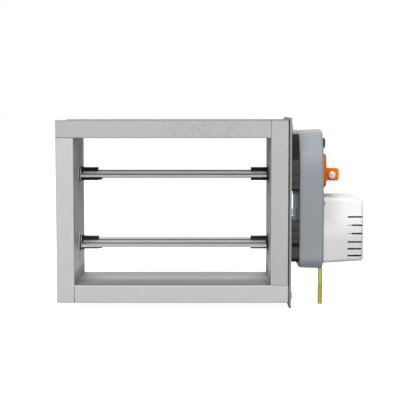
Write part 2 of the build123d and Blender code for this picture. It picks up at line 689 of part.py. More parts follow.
def case_outline(inset, side_inset=0.0, foot_inset=0.0):
    """Casing outline about the shaft: half ellipse on top, round corners below."""
    half = CASE_HALF_WIDTH - inset - side_inset
    top = CASE_ABOVE - inset
    low = -(CASE_BELOW - inset - foot_inset)
    radius = CASE_CORNER_RADIUS - inset
    arch = EllipticalCenterArc((0, 0), half, top, 0, arc_size=180)
    left_side = Line((-half, 0), (-half, low + radius))
    left_corner = RadiusArc((-half, low + radius), (-half + radius, low), -radius)
    floor = Line((-half + radius, low), (half - radius, low))
    right_corner = RadiusArc((half - radius, low), (half, low + radius), -radius)
    right_side = Line((half, low + radius), (half, 0))
    outline = make_face(Curve() + [arch, left_side, left_corner, floor, right_corner, right_side])
    return Pos(0, SHAFT_Z) * outline


def skirt_outline(inset):
    """Outline of the shallow back of the casing: flush on top, set in at its flanks and foot."""
    return case_outline(SKIRT_INSET + inset, SKIRT_SIDE_INSET, SKIRT_FOOT_INSET)


def skirt_half():
    """Half the width of the casing's shallow back between its straight flanks."""
    return CASE_HALF_WIDTH - SKIRT_INSET - SKIRT_SIDE_INSET


def drafted_layer(x, inset):
    """Casing outline at X: its draft makes it smaller away from the face."""
    draft = (FACE_X - x) * tan(radians(CASE_DRAFT))
    return Plane.YZ.offset(x) * case_outline(draft + inset)


def case_body(start, end, start_inset, end_inset):
    """Drafted casing block between two X positions."""
    return loft([drafted_layer(start, start_inset), drafted_layer(end, end_inset)], ruled=True)


def post_places():
    """Y and Z of the screw posts inside the casing."""
    drops = (POST_DROP_UPPER, POST_DROP_LOWER)
    return [(y, SHAFT_Z - drop) for y in (-POST_SPREAD, POST_SPREAD) for drop in drops]


def at_posts(start, end, diameter):
    """Round bars on the axes of the four screw posts."""
    return [rod(start, end, diameter, z, y) for y, z in post_places()]


def posts(start, end):
    """Screw posts between two X positions."""
    return at_posts(start, end, CASE_SCREW_DIAMETER + 2 * CASE_POST_WALL)


def post_bores(start, end):
    """Bores of the screws from the back."""
    return at_posts(start, end, CASE_SCREW_DIAMETER + 2 * FIXED_CLEARANCE)


def reduction_z():
    """Height of the reduction gear's axle."""
    return SHAFT_Z - OUTPUT_MODULE * (OUTPUT_TEETH + REDUCTION_PINION_TEETH) / 2


def motor_z():
    """Height of the motor shaft."""
    return reduction_z() - MOTOR_MODULE * (REDUCTION_WHEEL_TEETH + MOTOR_PINION_TEETH) / 2


def axle_sockets(start, end):
    """Blind sockets for the ends of the reduction axle."""
    return rod(start, end, AXLE_DIAMETER + 2 * FIXED_CLEARANCE, reduction_z())


def hub_bore(start, end):
    """Bore that the output hub turns in."""
    return rod(start, end, OUTPUT_HUB_DIAMETER + 2 * RUNNING_CLEARANCE, SHAFT_Z)


def spring_seat_x():
    """X of the fixed end of the button spring."""
    return FACE_X - CASE_WALL - BUTTON_GUIDE_DEPTH - BUTTON_FLANGE_THICKNESS - SPRING_LENGTH


def spring_post():
    """Post on the rear cover with a pilot that stands inside the button spring."""
    z = SHAFT_Z + BUTTON_HEIGHT
    pilot = SPRING_DIAMETER - 2 * SPRING_WIRE - 2 * HOLE_CLEARANCE
    return [
        rod(SKIRT_X + CASE_WALL / 2, spring_seat_x(), SPRING_DIAMETER + 2 * HOLE_CLEARANCE, z),
        rod(SKIRT_X + CASE_WALL / 2, spring_seat_x() + SPRING_LENGTH / 3, pilot, z),
    ]


def back_floor_x():
    """X of the floor of the recess across the back of the casing."""
    return SKIRT_X + BACK_RECESS_DEPTH


def back_recess(end_x, near_y, far_y, margin):
    """Box across the back between the two pads, with a margin above and below."""
    low = SHAFT_Z - LOWER_PAD_TOP - margin
    high = SHAFT_Z - UPPER_PAD_BOTTOM + margin
    return block((SKIRT_X, near_y, low), (end_x, far_y, high))


def back_slit():
    """Upright slit through the near flank beside the floor of the recess."""
    low = SHAFT_Z - LOWER_PAD_TOP
    start = (back_floor_x() - BACK_SLIT_WIDTH, -skirt_half() - CUT_OVERRUN, low)
    return block(start, (back_floor_x(), 0, low + BACK_SLIT_HEIGHT))


def make_rear_cover():
    """Shallow back of the casing, which stands behind the rim and holds the motor."""
    half = skirt_half()
    outer = slab(skirt_outline(0.0), SKIRT_X, RIM_X)
    hollow = slab(skirt_outline(CASE_WALL), SKIRT_X + CASE_WALL, RIM_X)
    motor_seat = rod(SKIRT_X, back_floor_x() + CASE_WALL, MOTOR_DIAMETER - 2 * CASE_WALL, motor_z())
    cover = outer - hollow + spring_post() + motor_seat
    cover += back_recess(back_floor_x() + CASE_WALL, -half, half, CASE_WALL)
    cover -= back_recess(back_floor_x(), BACK_RECESS_FLANK - half, half + CUT_OVERRUN, 0.0)
    cover -= back_slit()
    cover += posts(back_floor_x() + CASE_WALL / 2, RIM_X)
    cover = cover - hub_bore(SKIRT_X, RIM_X) - post_bores(back_floor_x(), RIM_X)
    cover -= axle_sockets(back_floor_x() + CASE_WALL / 2, RIM_X)
    write("actuator_rear_cover", cover)


def lead_places():
    """X of the two leads, just inside the casing face."""
    outer_x = FACE_X - LEAD_SETBACK + LEAD_SPACING
    return (outer_x - LEAD_SPACING, outer_x)


def snap_nubs():
    """Small nubs beside the terminal cover that hold its snap edges."""
    low = SHAFT_Z - NUB_DROP - NUB_HEIGHT / 2
    inner_y = COVER_HALF_WIDTH + FIXED_CLEARANCE
    end = (FACE_X + NUB_STAND, inner_y + NUB_WIDTH, low + NUB_HEIGHT)
    return on_both_sides(block((FACE_X - NUB_STAND, inner_y, low), end))


def make_housing():
    """Drafted casing shell, open towards the rear cover."""
    shoulder_x = RIM_X + RIM_CHAMFER_LENGTH
    rim = case_body(RIM_X, shoulder_x, RIM_CHAMFER_DEPTH, 0.0)
    shell = rim + case_body(shoulder_x, FACE_X, 0.0, 0.0)
    shell = fillet(shell.faces().sort_by(Axis.X)[-1].edges(), FACE_EDGE_RADIUS)
    inset = CASE_WALL + RIM_CHAMFER_DEPTH
    shell -= case_body(RIM_X + CASE_WALL, FACE_X - CASE_WALL, inset, inset)
    shell -= slab(skirt_outline(CASE_WALL), RIM_X, RIM_X + CASE_WALL)
    inner_face = FACE_X - CASE_WALL / 2
    top_z = SHAFT_Z + TOP_SCREW_RISE
    shell += posts(RIM_X, inner_face)
    boss = CASE_SCREW_DIAMETER + 2 * CASE_POST_WALL
    shell += rod(FACE_X - TOP_SCREW_REACH, inner_face, boss, top_z)
    shell += snap_nubs()
    shell -= post_bores(RIM_X, back_floor_x() + CASE_SCREW_REACH)
    shell -= rod(FACE_X - TOP_SCREW_REACH, FACE_X, CASE_SCREW_DIAMETER + 2 * FIXED_CLEARANCE, top_z)
    shell -= hub_bore(FACE_X - CASE_WALL, FACE_X)
    button_z = SHAFT_Z + BUTTON_HEIGHT
    guide_x = FACE_X - CASE_WALL - BUTTON_GUIDE_DEPTH
    shell += rod(guide_x, FACE_X - CASE_WALL, BUTTON_DIAMETER + 2 * CASE_WALL, button_z)
    shell -= rod(guide_x, FACE_X, BUTTON_DIAMETER + 2 * RUNNING_CLEARANCE, button_z)
    socket_x = FACE_X - 2 * CASE_WALL
    shell += rod(socket_x, FACE_X - CASE_WALL, AXLE_DIAMETER + 2 * CASE_WALL, reduction_z())
    shell -= axle_sockets(socket_x, FACE_X - CASE_WALL)
    hole_z = SHAFT_Z - CASE_BELOW - CUT_OVERRUN
    hole = LEAD_DIAMETER + 4 * RUNNING_CLEARANCE
    for x in lead_places():
        shell -= upright(hole, hole_z, hole_z + LEAD_HOLE_DEPTH, x, -LEAD_OUT)
    write("actuator_housing", shell)


def make_case_screws():
    """Pan head screws: four from the back, one in the face."""
    pieces = []
    seat_x = back_floor_x()
    for y, z in post_places():
        head = rod(seat_x - CASE_SCREW_HEAD_HEIGHT, seat_x, CASE_SCREW_HEAD_DIAMETER, z, y)
        shank = rod(seat_x, seat_x + CASE_SCREW_REACH, CASE_SCREW_DIAMETER, z, y)
        pieces.append(head + shank)
    top_z = SHAFT_Z + TOP_SCREW_RISE
    head = rod(FACE_X, FACE_X + CASE_SCREW_HEAD_HEIGHT, CASE_SCREW_HEAD_DIAMETER, top_z)
    pieces.append(head + rod(FACE_X - TOP_SCREW_REACH, FACE_X, CASE_SCREW_DIAMETER, top_z))
    write("housing_screws", Compound(pieces))


def mounting_pad(outline):
    """Rubber pad that fills the space behind the rim, round the rear cover."""
    pad = slab(Pos(0, SHAFT_Z) * outline, PLATE_OUTER_X, RIM_X)
    return pad - slab(skirt_outline(0.0), SKIRT_X, RIM_X)


def pad_grooves(highest, count):
    """Grooves moulded across both flanks of a pad."""
    cuts = []
    for index in range(count):
        z = SHAFT_Z + highest - index * PAD_GROOVE_PITCH
        start = (PLATE_OUTER_X, PAD_HALF_WIDTH - PAD_GROOVE_DEPTH, z)
        end = (RIM_X, PAD_HALF_WIDTH + PAD_GROOVE_DEPTH, z + PAD_GROOVE_HEIGHT)
        cuts += on_both_sides(block(start, end))
    return cuts


def make_pads():
    """Upper pad round the shaft and lower pad near the motor."""
    width = 2 * PAD_HALF_WIDTH
    skirt = Pos(0, -UPPER_PAD_BOTTOM / 2) * Rectangle(width, UPPER_PAD_BOTTOM)
    arch = Ellipse(PAD_HALF_WIDTH, PAD_ARCH_HEIGHT) + skirt
    height = UPPER_PAD_TOP + UPPER_PAD_BOTTOM
    arch &= Pos(0, (UPPER_PAD_TOP - UPPER_PAD_BOTTOM) / 2) * Rectangle(width, height)
    upper = mounting_pad(arch) - pad_grooves(UPPER_PAD_TOP - UPPER_GROOVE_SETBACK, UPPER_GROOVE_COUNT)
    upper -= rod(PLATE_OUTER_X, RIM_X, OUTPUT_HUB_DIAMETER + 2 * PAD_HUB_GAP, SHAFT_Z)
    write("upper_mounting_pad", upper)
    round_block = RectangleRounded(width, LOWER_PAD_BOTTOM - LOWER_PAD_TOP, PAD_CORNER_RADIUS)
    lower = mounting_pad(Pos(0, -(LOWER_PAD_TOP + LOWER_PAD_BOTTOM) / 2) * round_block)
    lower -= pad_grooves(-LOWER_PAD_TOP - LOWER_GROOVE_SETBACK, LOWER_GROOVE_COUNT)
    write("lower_mounting_pad", lower)


def train_x():
    """X where the gears inside the casing start."""
    return back_floor_x() + CASE_WALL + TRAIN_END_GAP


def hub_end_x():
    """X of the outer end of the output hub, inside the clamp's disc."""
    return FACE_X + CLAMP_FACE_GAP + CLAMP_DISC_THICKNESS / 2


def make_output_gear():
    """Output gear and the hollow hub that the spindle runs through."""
    outline = Pos(0, SHAFT_Z) * gear_outline(OUTPUT_TEETH, OUTPUT_MODULE, -90)
    gear = slab(outline, train_x(), train_x() + TRAIN_FACE_WIDTH)
    hub = rod(SKIRT_X, hub_end_x(), OUTPUT_HUB_DIAMETER, SHAFT_Z)
    bore = rod(SKIRT_X, hub_end_x(), SPINDLE_DIAMETER + 2 * FIXED_CLEARANCE, SHAFT_Z)
    write("output_gear", gear + hub - bore)


def wheel_start_x():
    """X where the wide wheel of the reduction gear starts."""
    return train_x() + TRAIN_FACE_WIDTH + TRAIN_STEP


def make_reduction_gear():
    """Pinion and wheel in one piece, on a fixed axle."""
    start = train_x()
    wheel_x = wheel_start_x()
    end = FACE_X - 2 * CASE_WALL - TRAIN_END_GAP
    z = reduction_z()
    half_tooth = 180 / REDUCTION_PINION_TEETH
    outline = Pos(0, z) * gear_outline(REDUCTION_PINION_TEETH, OUTPUT_MODULE, 90 + half_tooth)
    pinion = slab(outline, start, wheel_x)
    outline = Pos(0, z) * gear_outline(REDUCTION_WHEEL_TEETH, MOTOR_MODULE, -90)
    wheel = slab(outline, wheel_x, wheel_x + WHEEL_FACE_WIDTH)
    hub = rod(wheel_x, end, REDUCTION_HUB_DIAMETER, z)
    bore = rod(start, end, AXLE_DIAMETER + 2 * RUNNING_CLEARANCE, z)
    write("reduction_gear", pinion + wheel + hub - bore)
    axle_start = back_floor_x() + CASE_WALL / 2 + FIXED_CLEARANCE
    write("reduction_axle", rod(axle_start, FACE_X - CASE_WALL - FIXED_CLEARANCE, AXLE_DIAMETER, z))


def make_motor():
    """Flat motor, and the pinion on its shaft in mesh with the reduction wheel."""
    z = motor_z()
    front = wheel_start_x() - MOTOR_FACE_GAP
    socket_x = front - MOTOR_SHAFT_DEPTH
    socket = rod(socket_x, front, MOTOR_SHAFT_DIAMETER + 2 * RUNNING_CLEARANCE, z)
    write("drive_motor", rod(back_floor_x() + CASE_WALL, front, MOTOR_DIAMETER, z) - socket)
    half_tooth = 180 / MOTOR_PINION_TEETH
    outline = Pos(0, z) * gear_outline(MOTOR_PINION_TEETH, MOTOR_MODULE, 90 + half_tooth)
    pinion_x = front + PINION_GAP
    pinion = slab(outline, pinion_x, wheel_start_x() + WHEEL_FACE_WIDTH + PINION_OVERRUN)
    shaft = rod(socket_x + PINION_GAP, pinion_x, MOTOR_SHAFT_DIAMETER, z)
    write("motor_pinion", pinion + shaft)


def make_button():
    """Domed release button that slides in the casing face, and its spring."""
    z = SHAFT_Z + BUTTON_HEIGHT
    foot_x = FACE_X - CASE_WALL - BUTTON_GUIDE_DEPTH
    tip_x = FACE_X + BUTTON_PRESSED_STAND + BUTTON_TRAVEL
    stem = rod(foot_x, tip_x, BUTTON_DIAMETER, z)
    stem = fillet(stem.edges().group_by(Axis.X)[-1], BUTTON_DOME)
    flange = rod(foot_x - BUTTON_FLANGE_THICKNESS, foot_x, BUTTON_FLANGE_DIAMETER, z)
    write("release_button", stem + flange)
    write("button_spring", Pos(spring_seat_x() + SPRING_WIRE / 2, 0, z) * coil_spring())


def coil_spring():
    """Compression spring along X, lofted through hexagonal wire sections."""
    radius = (SPRING_DIAMETER - SPRING_WIRE) / 2
    rise = SPRING_LENGTH - SPRING_WIRE
    sections = []
    for step in range(SPRING_TURNS * SPRING_STEPS + 1):
        angle = 2 * pi * step / SPRING_STEPS
        along = rise * step / (SPRING_TURNS * SPRING_STEPS)
        spoke = Vector(0, cos(angle), sin(angle))
        tangent = Vector(0, -sin(angle), cos(angle))
        place = Plane(origin=Vector(along, 0, 0) + spoke * radius, x_dir=spoke, z_dir=tangent)
        sections.append(place * RegularPolygon(SPRING_WIRE / 2, 6))
    return loft(sections, ruled=True)


def clamp_block(start, end):
    """Block of the clamp, a little below the shaft, with a slightly bowed outer end."""
    middle = SHAFT_Z - CLAMP_BLOCK_DROP
    low = middle - CLAMP_BLOCK_HEIGHT / 2
    high = middle + CLAMP_BLOCK_HEIGHT / 2
    shoulder_x = end - CLAMP_BLOCK_BOW
    sides = Polyline((shoulder_x, high), (start, high), (start, low), (shoulder_x, low))
    bow = ThreePointArc((shoulder_x, low), (end, middle), (shoulder_x, high))
    profile = make_face(Plane.XZ * (Curve() + [sides, bow]))
    solid = extrude(profile, amount=CLAMP_BLOCK_DEPTH / 2, both=True)
    return fillet(solid.edges().filter_by(Axis.X) + solid.edges().filter_by(Axis.Y), CLAMP_BLOCK_RADIUS)


def make_clamp():
    """Spindle clamp: pointer disc with a block, and its screw."""
    disc_x = FACE_X + CLAMP_FACE_GAP
    block_x = disc_x + CLAMP_DISC_THICKNESS
    end_x = clamp_end_x()
    nose = Pos(0, CLAMP_POINTER_REACH - CLAMP_NOSE_RADIUS) * Circle(CLAMP_NOSE_RADIUS)
    outline = make_hull(Circle(CLAMP_DISC_RADIUS).edges() + nose.edges())
    disc = slab(Pos(0, SHAFT_Z) * outline, disc_x, block_x)
    disc = chamfer(disc.edges().group_by(Axis.X)[-1], CLAMP_BEVEL)
    clamp = disc + clamp_block(disc_x + CLAMP_BLOCK_RADIUS, end_x)
    clamp -= rod(disc_x, end_x, SPINDLE_DIAMETER + 2 * FIXED_CLEARANCE, SHAFT_Z)
    clamp -= rod(disc_x, hub_end_x(), OUTPUT_HUB_DIAMETER + 2 * FIXED_CLEARANCE, SHAFT_Z)
    face_y = -CLAMP_BLOCK_DEPTH / 2
    length = CLAMP_BLOCK_DEPTH / 2 - SPINDLE_DIAMETER / 2 - FIXED_CLEARANCE
    screw_x = (block_x + end_x) / 2 - CLAMP_SCREW_SETBACK
    place = Pos(screw_x, face_y, SHAFT_Z - CLAMP_SCREW_DROP) * Rot(-90, 0, 0)
    bore = extrude(Circle(CLAMP_SCREW_DIAMETER / 2 + FIXED_CLEARANCE), amount=length + CUT_OVERRUN)
    write("spindle_clamp", clamp - place * bore)
    shank = extrude(Circle(CLAMP_SCREW_DIAMETER / 2), amount=length)
    head = extrude(Circle(CLAMP_SCREW_HEAD_DIAMETER / 2), amount=-CLAMP_SCREW_HEAD_HEIGHT)
    head = chamfer(head.edges().group_by(Axis.Z)[0], CLAMP_SCREW_HEAD_BEVEL)
    write("clamp_screw", place * (head + shank))


def cover_body(inset):
    """Terminal cover block seen from the side, with its rounded outer corners."""
    tip_x = FACE_X + COVER_LENGTH - inset
    top = SHAFT_Z + COVER_TOP - inset
    low = SHAFT_Z + COVER_BOTTOM + inset
    tip_top = top - COVER_TIP_DROP
    tip_low = low + COVER_TIP_RISE
    profile = Polyline((FACE_X, low), (tip_x, tip_low), (tip_x, tip_top), (FACE_X, top), close=True)
    face = make_face(Plane.XZ * profile)
    half = COVER_HALF_WIDTH - inset
    solid = extrude(face, amount=half, both=True)
    tip_edges = solid.edges().filter_by(Axis.Y).sort_by(Axis.X)[-2:].sort_by(Axis.Z)
    solid = fillet(tip_edges[-1], COVER_TOP_RADIUS - inset)
    cross_edges = solid.edges().filter_by(Axis.Y)
    low_edge = cross_edges.sort_by(lambda edge: edge.center().Z - edge.center().X)[0]
    solid = fillet(low_edge, COVER_BOTTOM_RADIUS - inset)
    rims = solid.faces().filter_by(Axis.Y)
    edges = rims[0].edges() + rims[1].edges()
    keep = edges.filter_by(lambda edge: edge.center().X > FACE_X + FIXED_CLEARANCE)
    return fillet(keep, COVER_SIDE_RADIUS - inset)


def vent_heights():
    """Heights of the six vent slots: two spacings, wider above."""
    first = SHAFT_Z + COVER_TOP - VENT_FIRST
    upper = [first - index * VENT_UPPER_PITCH for index in range(VENT_UPPER_COUNT)]
    lower = [upper[-1] - (index + 1) * VENT_LOWER_PITCH for index in range(VENT_LOWER_COUNT)]
    return upper + lower


def flank_vents():
    """Vent slots through both flanks; the upper ones run out round the cover's end."""
    tip_x = FACE_X + COVER_LENGTH
    slot_end = tip_x - VENT_TIP_INSET
    half = VENT_HEIGHT / 2
    inner_y = COVER_HALF_WIDTH - 2 * COVER_WALL
    outer_y = COVER_HALF_WIDTH + CUT_OVERRUN
    cuts = []
    for index, z in enumerate(vent_heights()):
        short = VENT_SHORT_FIRST <= index <= VENT_SHORT_LAST
        start = slot_end - (VENT_SHORT_LENGTH if short else VENT_LENGTH)
        end = tip_x + CUT_OVERRUN if index < VENT_WRAPPED_COUNT else slot_end
        cuts += on_both_sides(block((start, inner_y, z - half), (end, outer_y, z + half)))
        if short:
            cuts += on_both_sides(vent_groove(slot_end - VENT_LENGTH, start, z))
        if index < VENT_WRAPPED_COUNT:
            start = (tip_x - 2 * COVER_WALL, COVER_HALF_WIDTH - VENT_WRAP, z - half)
            cuts += on_both_sides(block(start, (end, outer_y, z + half)))
    return cuts


def vent_groove(start, end, z):
    """Shallow groove that runs on from a short slot."""
    half = VENT_GROOVE_HEIGHT / 2
    floor_y = COVER_HALF_WIDTH - VENT_GROOVE_DEPTH
    return block((start, floor_y, z - half), (end, COVER_HALF_WIDTH + CUT_OVERRUN, z + half))


def top_slots():
    """Row of narrow slots in the top of the cover, beside the casing."""
    top = SHAFT_Z + COVER_TOP
    low_y = -TOP_SLOT_SHIFT - TOP_SLOT_WIDTH / 2
    cuts = []
    for index in range(TOP_SLOT_COUNT):
        x = FACE_X + TOP_SLOT_SETBACK + index * TOP_SLOT_PITCH
        start = (x, low_y, top - 2 * COVER_WALL)
        cuts.append(block(start, (x + TOP_SLOT_LENGTH, low_y + TOP_SLOT_WIDTH, top + CUT_OVERRUN)))
    return cuts


def make_terminal_cover():
    """Thin-walled cover with vent slots in both flanks and on top."""
    write("terminal_cover", cover_body(0.0) - cover_body(COVER_WALL) - flank_vents() - top_slots())


def make_relay(board_x, board_low):
    """Upright relay at the foot of the control board."""
    low = board_low + RELAY_BOARD_MARGIN
    body = RectangleRounded(RELAY_WIDTH, RELAY_HEIGHT, RELAY_CORNER_RADIUS)
    body = Pos(0, low + RELAY_HEIGHT / 2) * body
    write("relay", slab(body, board_x, board_x + RELAY_REACH))


def make_electronics():
    """Control board with its relay and terminal block behind the cover."""
    middle_z = SHAFT_Z + (COVER_TOP + COVER_BOTTOM) / 2
    board_x = FACE_X + BOARD_STANDOFF
    block_x = board_x + BOARD_THICKNESS
    board = Pos(0, middle_z) * Rectangle(BOARD_WIDTH, BOARD_HEIGHT)
    write("control_board", slab(board, board_x, block_x))
    foot_y = BOARD_WIDTH / 2 - BOARD_FOOT_INSET
    foot_z = BOARD_HEIGHT / 2 - BOARD_FOOT_INSET
    places = [(y, middle_z + z) for y in (-foot_y, foot_y) for z in (-foot_z, foot_z)]
    feet = [rod(FACE_X, board_x, BOARD_FOOT_DIAMETER, z, y) for y, z in places]
    write("board_spacers", Compound(feet))
    make_relay(block_x, middle_z - BOARD_HEIGHT / 2)
    block_z = middle_z + BOARD_HEIGHT / 4
    block_end = block_x + TERMINAL_BLOCK_DEPTH
    body = Pos(0, block_z) * Rectangle(TERMINAL_BLOCK_WIDTH, TERMINAL_BLOCK_HEIGHT)
    terminals = slab(body, block_x, block_end)
    pitch = TERMINAL_BLOCK_WIDTH / TERMINAL_WAYS
    for way in range(TERMINAL_WAYS):
        y = (way - (TERMINAL_WAYS - 1) / 2) * pitch
        terminals -= rod(block_end - TERMINAL_HOLE_DEPTH, block_end, TERMINAL_HOLE_DIAMETER, block_z, y)
    write("terminal_block", terminals)


def make_leads():
    """Two bare-ended leads with sleeves over their lower halves."""
    top = SHAFT_Z - CASE_BELOW + CASE_WALL
    low = top - LEAD_LENGTH
    for name, x in zip(("rear", "front"), lead_places()):
        lead = upright(LEAD_DIAMETER, low, top, x, -LEAD_OUT)
        write(f"{name}_lead", lead)
        sleeve_top = low + LEAD_SLEEVE_LENGTH
        sleeve = upright(LEAD_SLEEVE_DIAMETER, low, sleeve_top, x, -LEAD_OUT)
        bore = upright(LEAD_DIAMETER + 2 * FIXED_CLEARANCE, low, sleeve_top, x, -LEAD_OUT)
        write(f"{name}_lead_sleeve", sleeve - bore)


def main():
    os.makedirs("parts", exist_ok=True)
    make_frame()
    make_corner_brackets()
    make_side_plate()
    make_blade_sets()
    make_pads()
    make_rear_cover()
    make_housing()
    make_case_screws()
    make_output_gear()
    make_reduction_gear()
    make_motor()
    make_button()
    make_clamp()
    make_terminal_cover()
    make_electronics()
    make_leads()


main()
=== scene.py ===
import json
import math

import bmesh
import bpy
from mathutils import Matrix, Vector
from mathutils.geometry import tessellate_polygon


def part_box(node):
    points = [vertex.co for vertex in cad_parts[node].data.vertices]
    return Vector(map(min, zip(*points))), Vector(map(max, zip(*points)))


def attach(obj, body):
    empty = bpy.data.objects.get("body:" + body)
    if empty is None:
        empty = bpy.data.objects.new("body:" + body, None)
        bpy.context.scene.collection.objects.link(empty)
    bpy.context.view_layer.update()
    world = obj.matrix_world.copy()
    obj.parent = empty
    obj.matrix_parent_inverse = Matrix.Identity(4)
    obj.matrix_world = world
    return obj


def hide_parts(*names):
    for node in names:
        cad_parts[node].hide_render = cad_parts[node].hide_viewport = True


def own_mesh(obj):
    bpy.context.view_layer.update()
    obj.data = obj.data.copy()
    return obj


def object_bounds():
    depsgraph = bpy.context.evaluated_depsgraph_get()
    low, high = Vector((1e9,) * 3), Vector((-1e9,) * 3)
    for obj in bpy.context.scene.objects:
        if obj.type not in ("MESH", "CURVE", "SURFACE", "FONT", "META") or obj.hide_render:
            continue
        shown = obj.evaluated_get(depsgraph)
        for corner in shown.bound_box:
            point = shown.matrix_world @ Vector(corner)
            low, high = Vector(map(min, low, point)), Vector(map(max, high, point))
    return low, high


# Rectangular opposed-blade damper with a rotary actuator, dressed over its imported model.
# Everything is in the frame of the model: +X to the drive side, +Y along the air flow, +Z up.
# The scene is in metres, and named sizes are in millimetres where MM doesn't follow them.

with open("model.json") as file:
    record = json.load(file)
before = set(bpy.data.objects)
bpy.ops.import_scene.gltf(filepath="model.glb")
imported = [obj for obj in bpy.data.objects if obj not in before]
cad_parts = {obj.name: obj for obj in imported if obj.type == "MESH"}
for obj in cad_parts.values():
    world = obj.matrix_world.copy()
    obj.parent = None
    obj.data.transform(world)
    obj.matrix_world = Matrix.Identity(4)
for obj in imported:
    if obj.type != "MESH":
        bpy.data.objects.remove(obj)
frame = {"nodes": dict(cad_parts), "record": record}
cad_low, cad_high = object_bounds()

MM = 0.001


def add_object(name, data):
    """New object in the scene."""
    made = bpy.data.objects.new(name, data)
    bpy.context.scene.collection.objects.link(made)
    return made


def middle(low, high):
    """Centre of a box."""
    return (low + high) / 2


# Camera

RENDER_WIDTH = 416
FOCAL_PIXELS = 1170.3
CAMERA_PLACE = (36.1 * MM, -1233.0 * MM, 107.2 * MM)
CAMERA_TILT = math.radians(4.976)


def make_camera():
    """Long lens in front of the inlet flange, a little above and to the right."""
    data = bpy.data.cameras.new("camera")
    data.sensor_width = 36.0
    data.lens = FOCAL_PIXELS * data.sensor_width / RENDER_WIDTH
    data.clip_start = 0.05
    data.clip_end = 200.0
    camera = add_object("camera", data)
    camera.location = CAMERA_PLACE
    camera.rotation_euler = (math.pi / 2 - CAMERA_TILT, 0.0, 0.0)
    bpy.context.scene.camera = camera


make_camera()


# Nodes

class Value:
    """A number in a node tree; its operators add Math nodes."""

    def __init__(self, maker, socket):
        self.maker = maker
        self.socket = socket

    def maths(self, operation, first, second=0.0):
        """One Math node."""
        settings = {"operation": operation}
        node = self.maker.node("ShaderNodeMath", settings, {0: first, 1: second})
        return Value(self.maker, node.outputs[0])

    def __add__(self, other):
        return self.maths("ADD", self, other)

    def __radd__(self, other):
        return self.maths("ADD", other, self)

    def __sub__(self, other):
        return self.maths("SUBTRACT", self, other)

    def __rsub__(self, other):
        return self.maths("SUBTRACT", other, self)

    def __mul__(self, other):
        return self.maths("MULTIPLY", self, other)

    def __rmul__(self, other):
        return self.maths("MULTIPLY", other, self)

    def __truediv__(self, other):
        return self.maths("DIVIDE", self, other)

    def __neg__(self):
        return self.maths("SUBTRACT", 0.0, self)

    def __abs__(self):
        return self.maths("ABSOLUTE", self)

    def larger(self, other):
        return self.maths("MAXIMUM", self, other)

    def smaller(self, other):
        return self.maths("MINIMUM", self, other)

    def power(self, other):
        return self.maths("POWER", self, other)

    def sine(self):
        return self.maths("SINE", self)

    def cosine(self):
        return self.maths("COSINE", self)

    def fraction(self):
        return self.maths("FRACT", self)

    def step(self, low, high):
        """Smooth step from 0 at low to 1 at high."""
        settings = {"interpolation_type": "SMOOTHSTEP"}
        limits = {0: self, 1: low, 2: high, 3: 0.0, 4: 1.0}
        node = self.maker.node("ShaderNodeMapRange", settings, limits)
        return Value(self.maker, node.outputs[0])

    def fall(self, low, high):
        """Smooth step from 1 at low to 0 at high."""
        return 1 - self.step(low, high)

    def between(self, rise_low, rise_high, fall_low, fall_high):
        """Smooth step up to 1, and further on down to 0."""
        return self.step(rise_low, rise_high) * self.fall(fall_low, fall_high)


class Workshop:
    """A node tree, and the one way in which nodes are added to it."""

    def __init__(self, tree):
        self.tree = tree
        self.tree.nodes.clear()

    def node(self, kind, settings, inputs):
        """Add a node, set its settings, then its sockets' values or links."""
        node = self.tree.nodes.new(kind)
        for key, value in settings.items():
            setattr(node, key, value)
        for key, value in inputs.items():
            self.feed(node.inputs[key], value)
        return node

    def feed(self, socket, value):
        """Set one socket to a value, or link it to another."""
        if isinstance(value, Value):
            value = value.socket
        if isinstance(value, bpy.types.NodeSocket):
            self.tree.links.new(value, socket)
        else:
            socket.default_value = value


EVEN = (1.0, 1.0, 1.0)


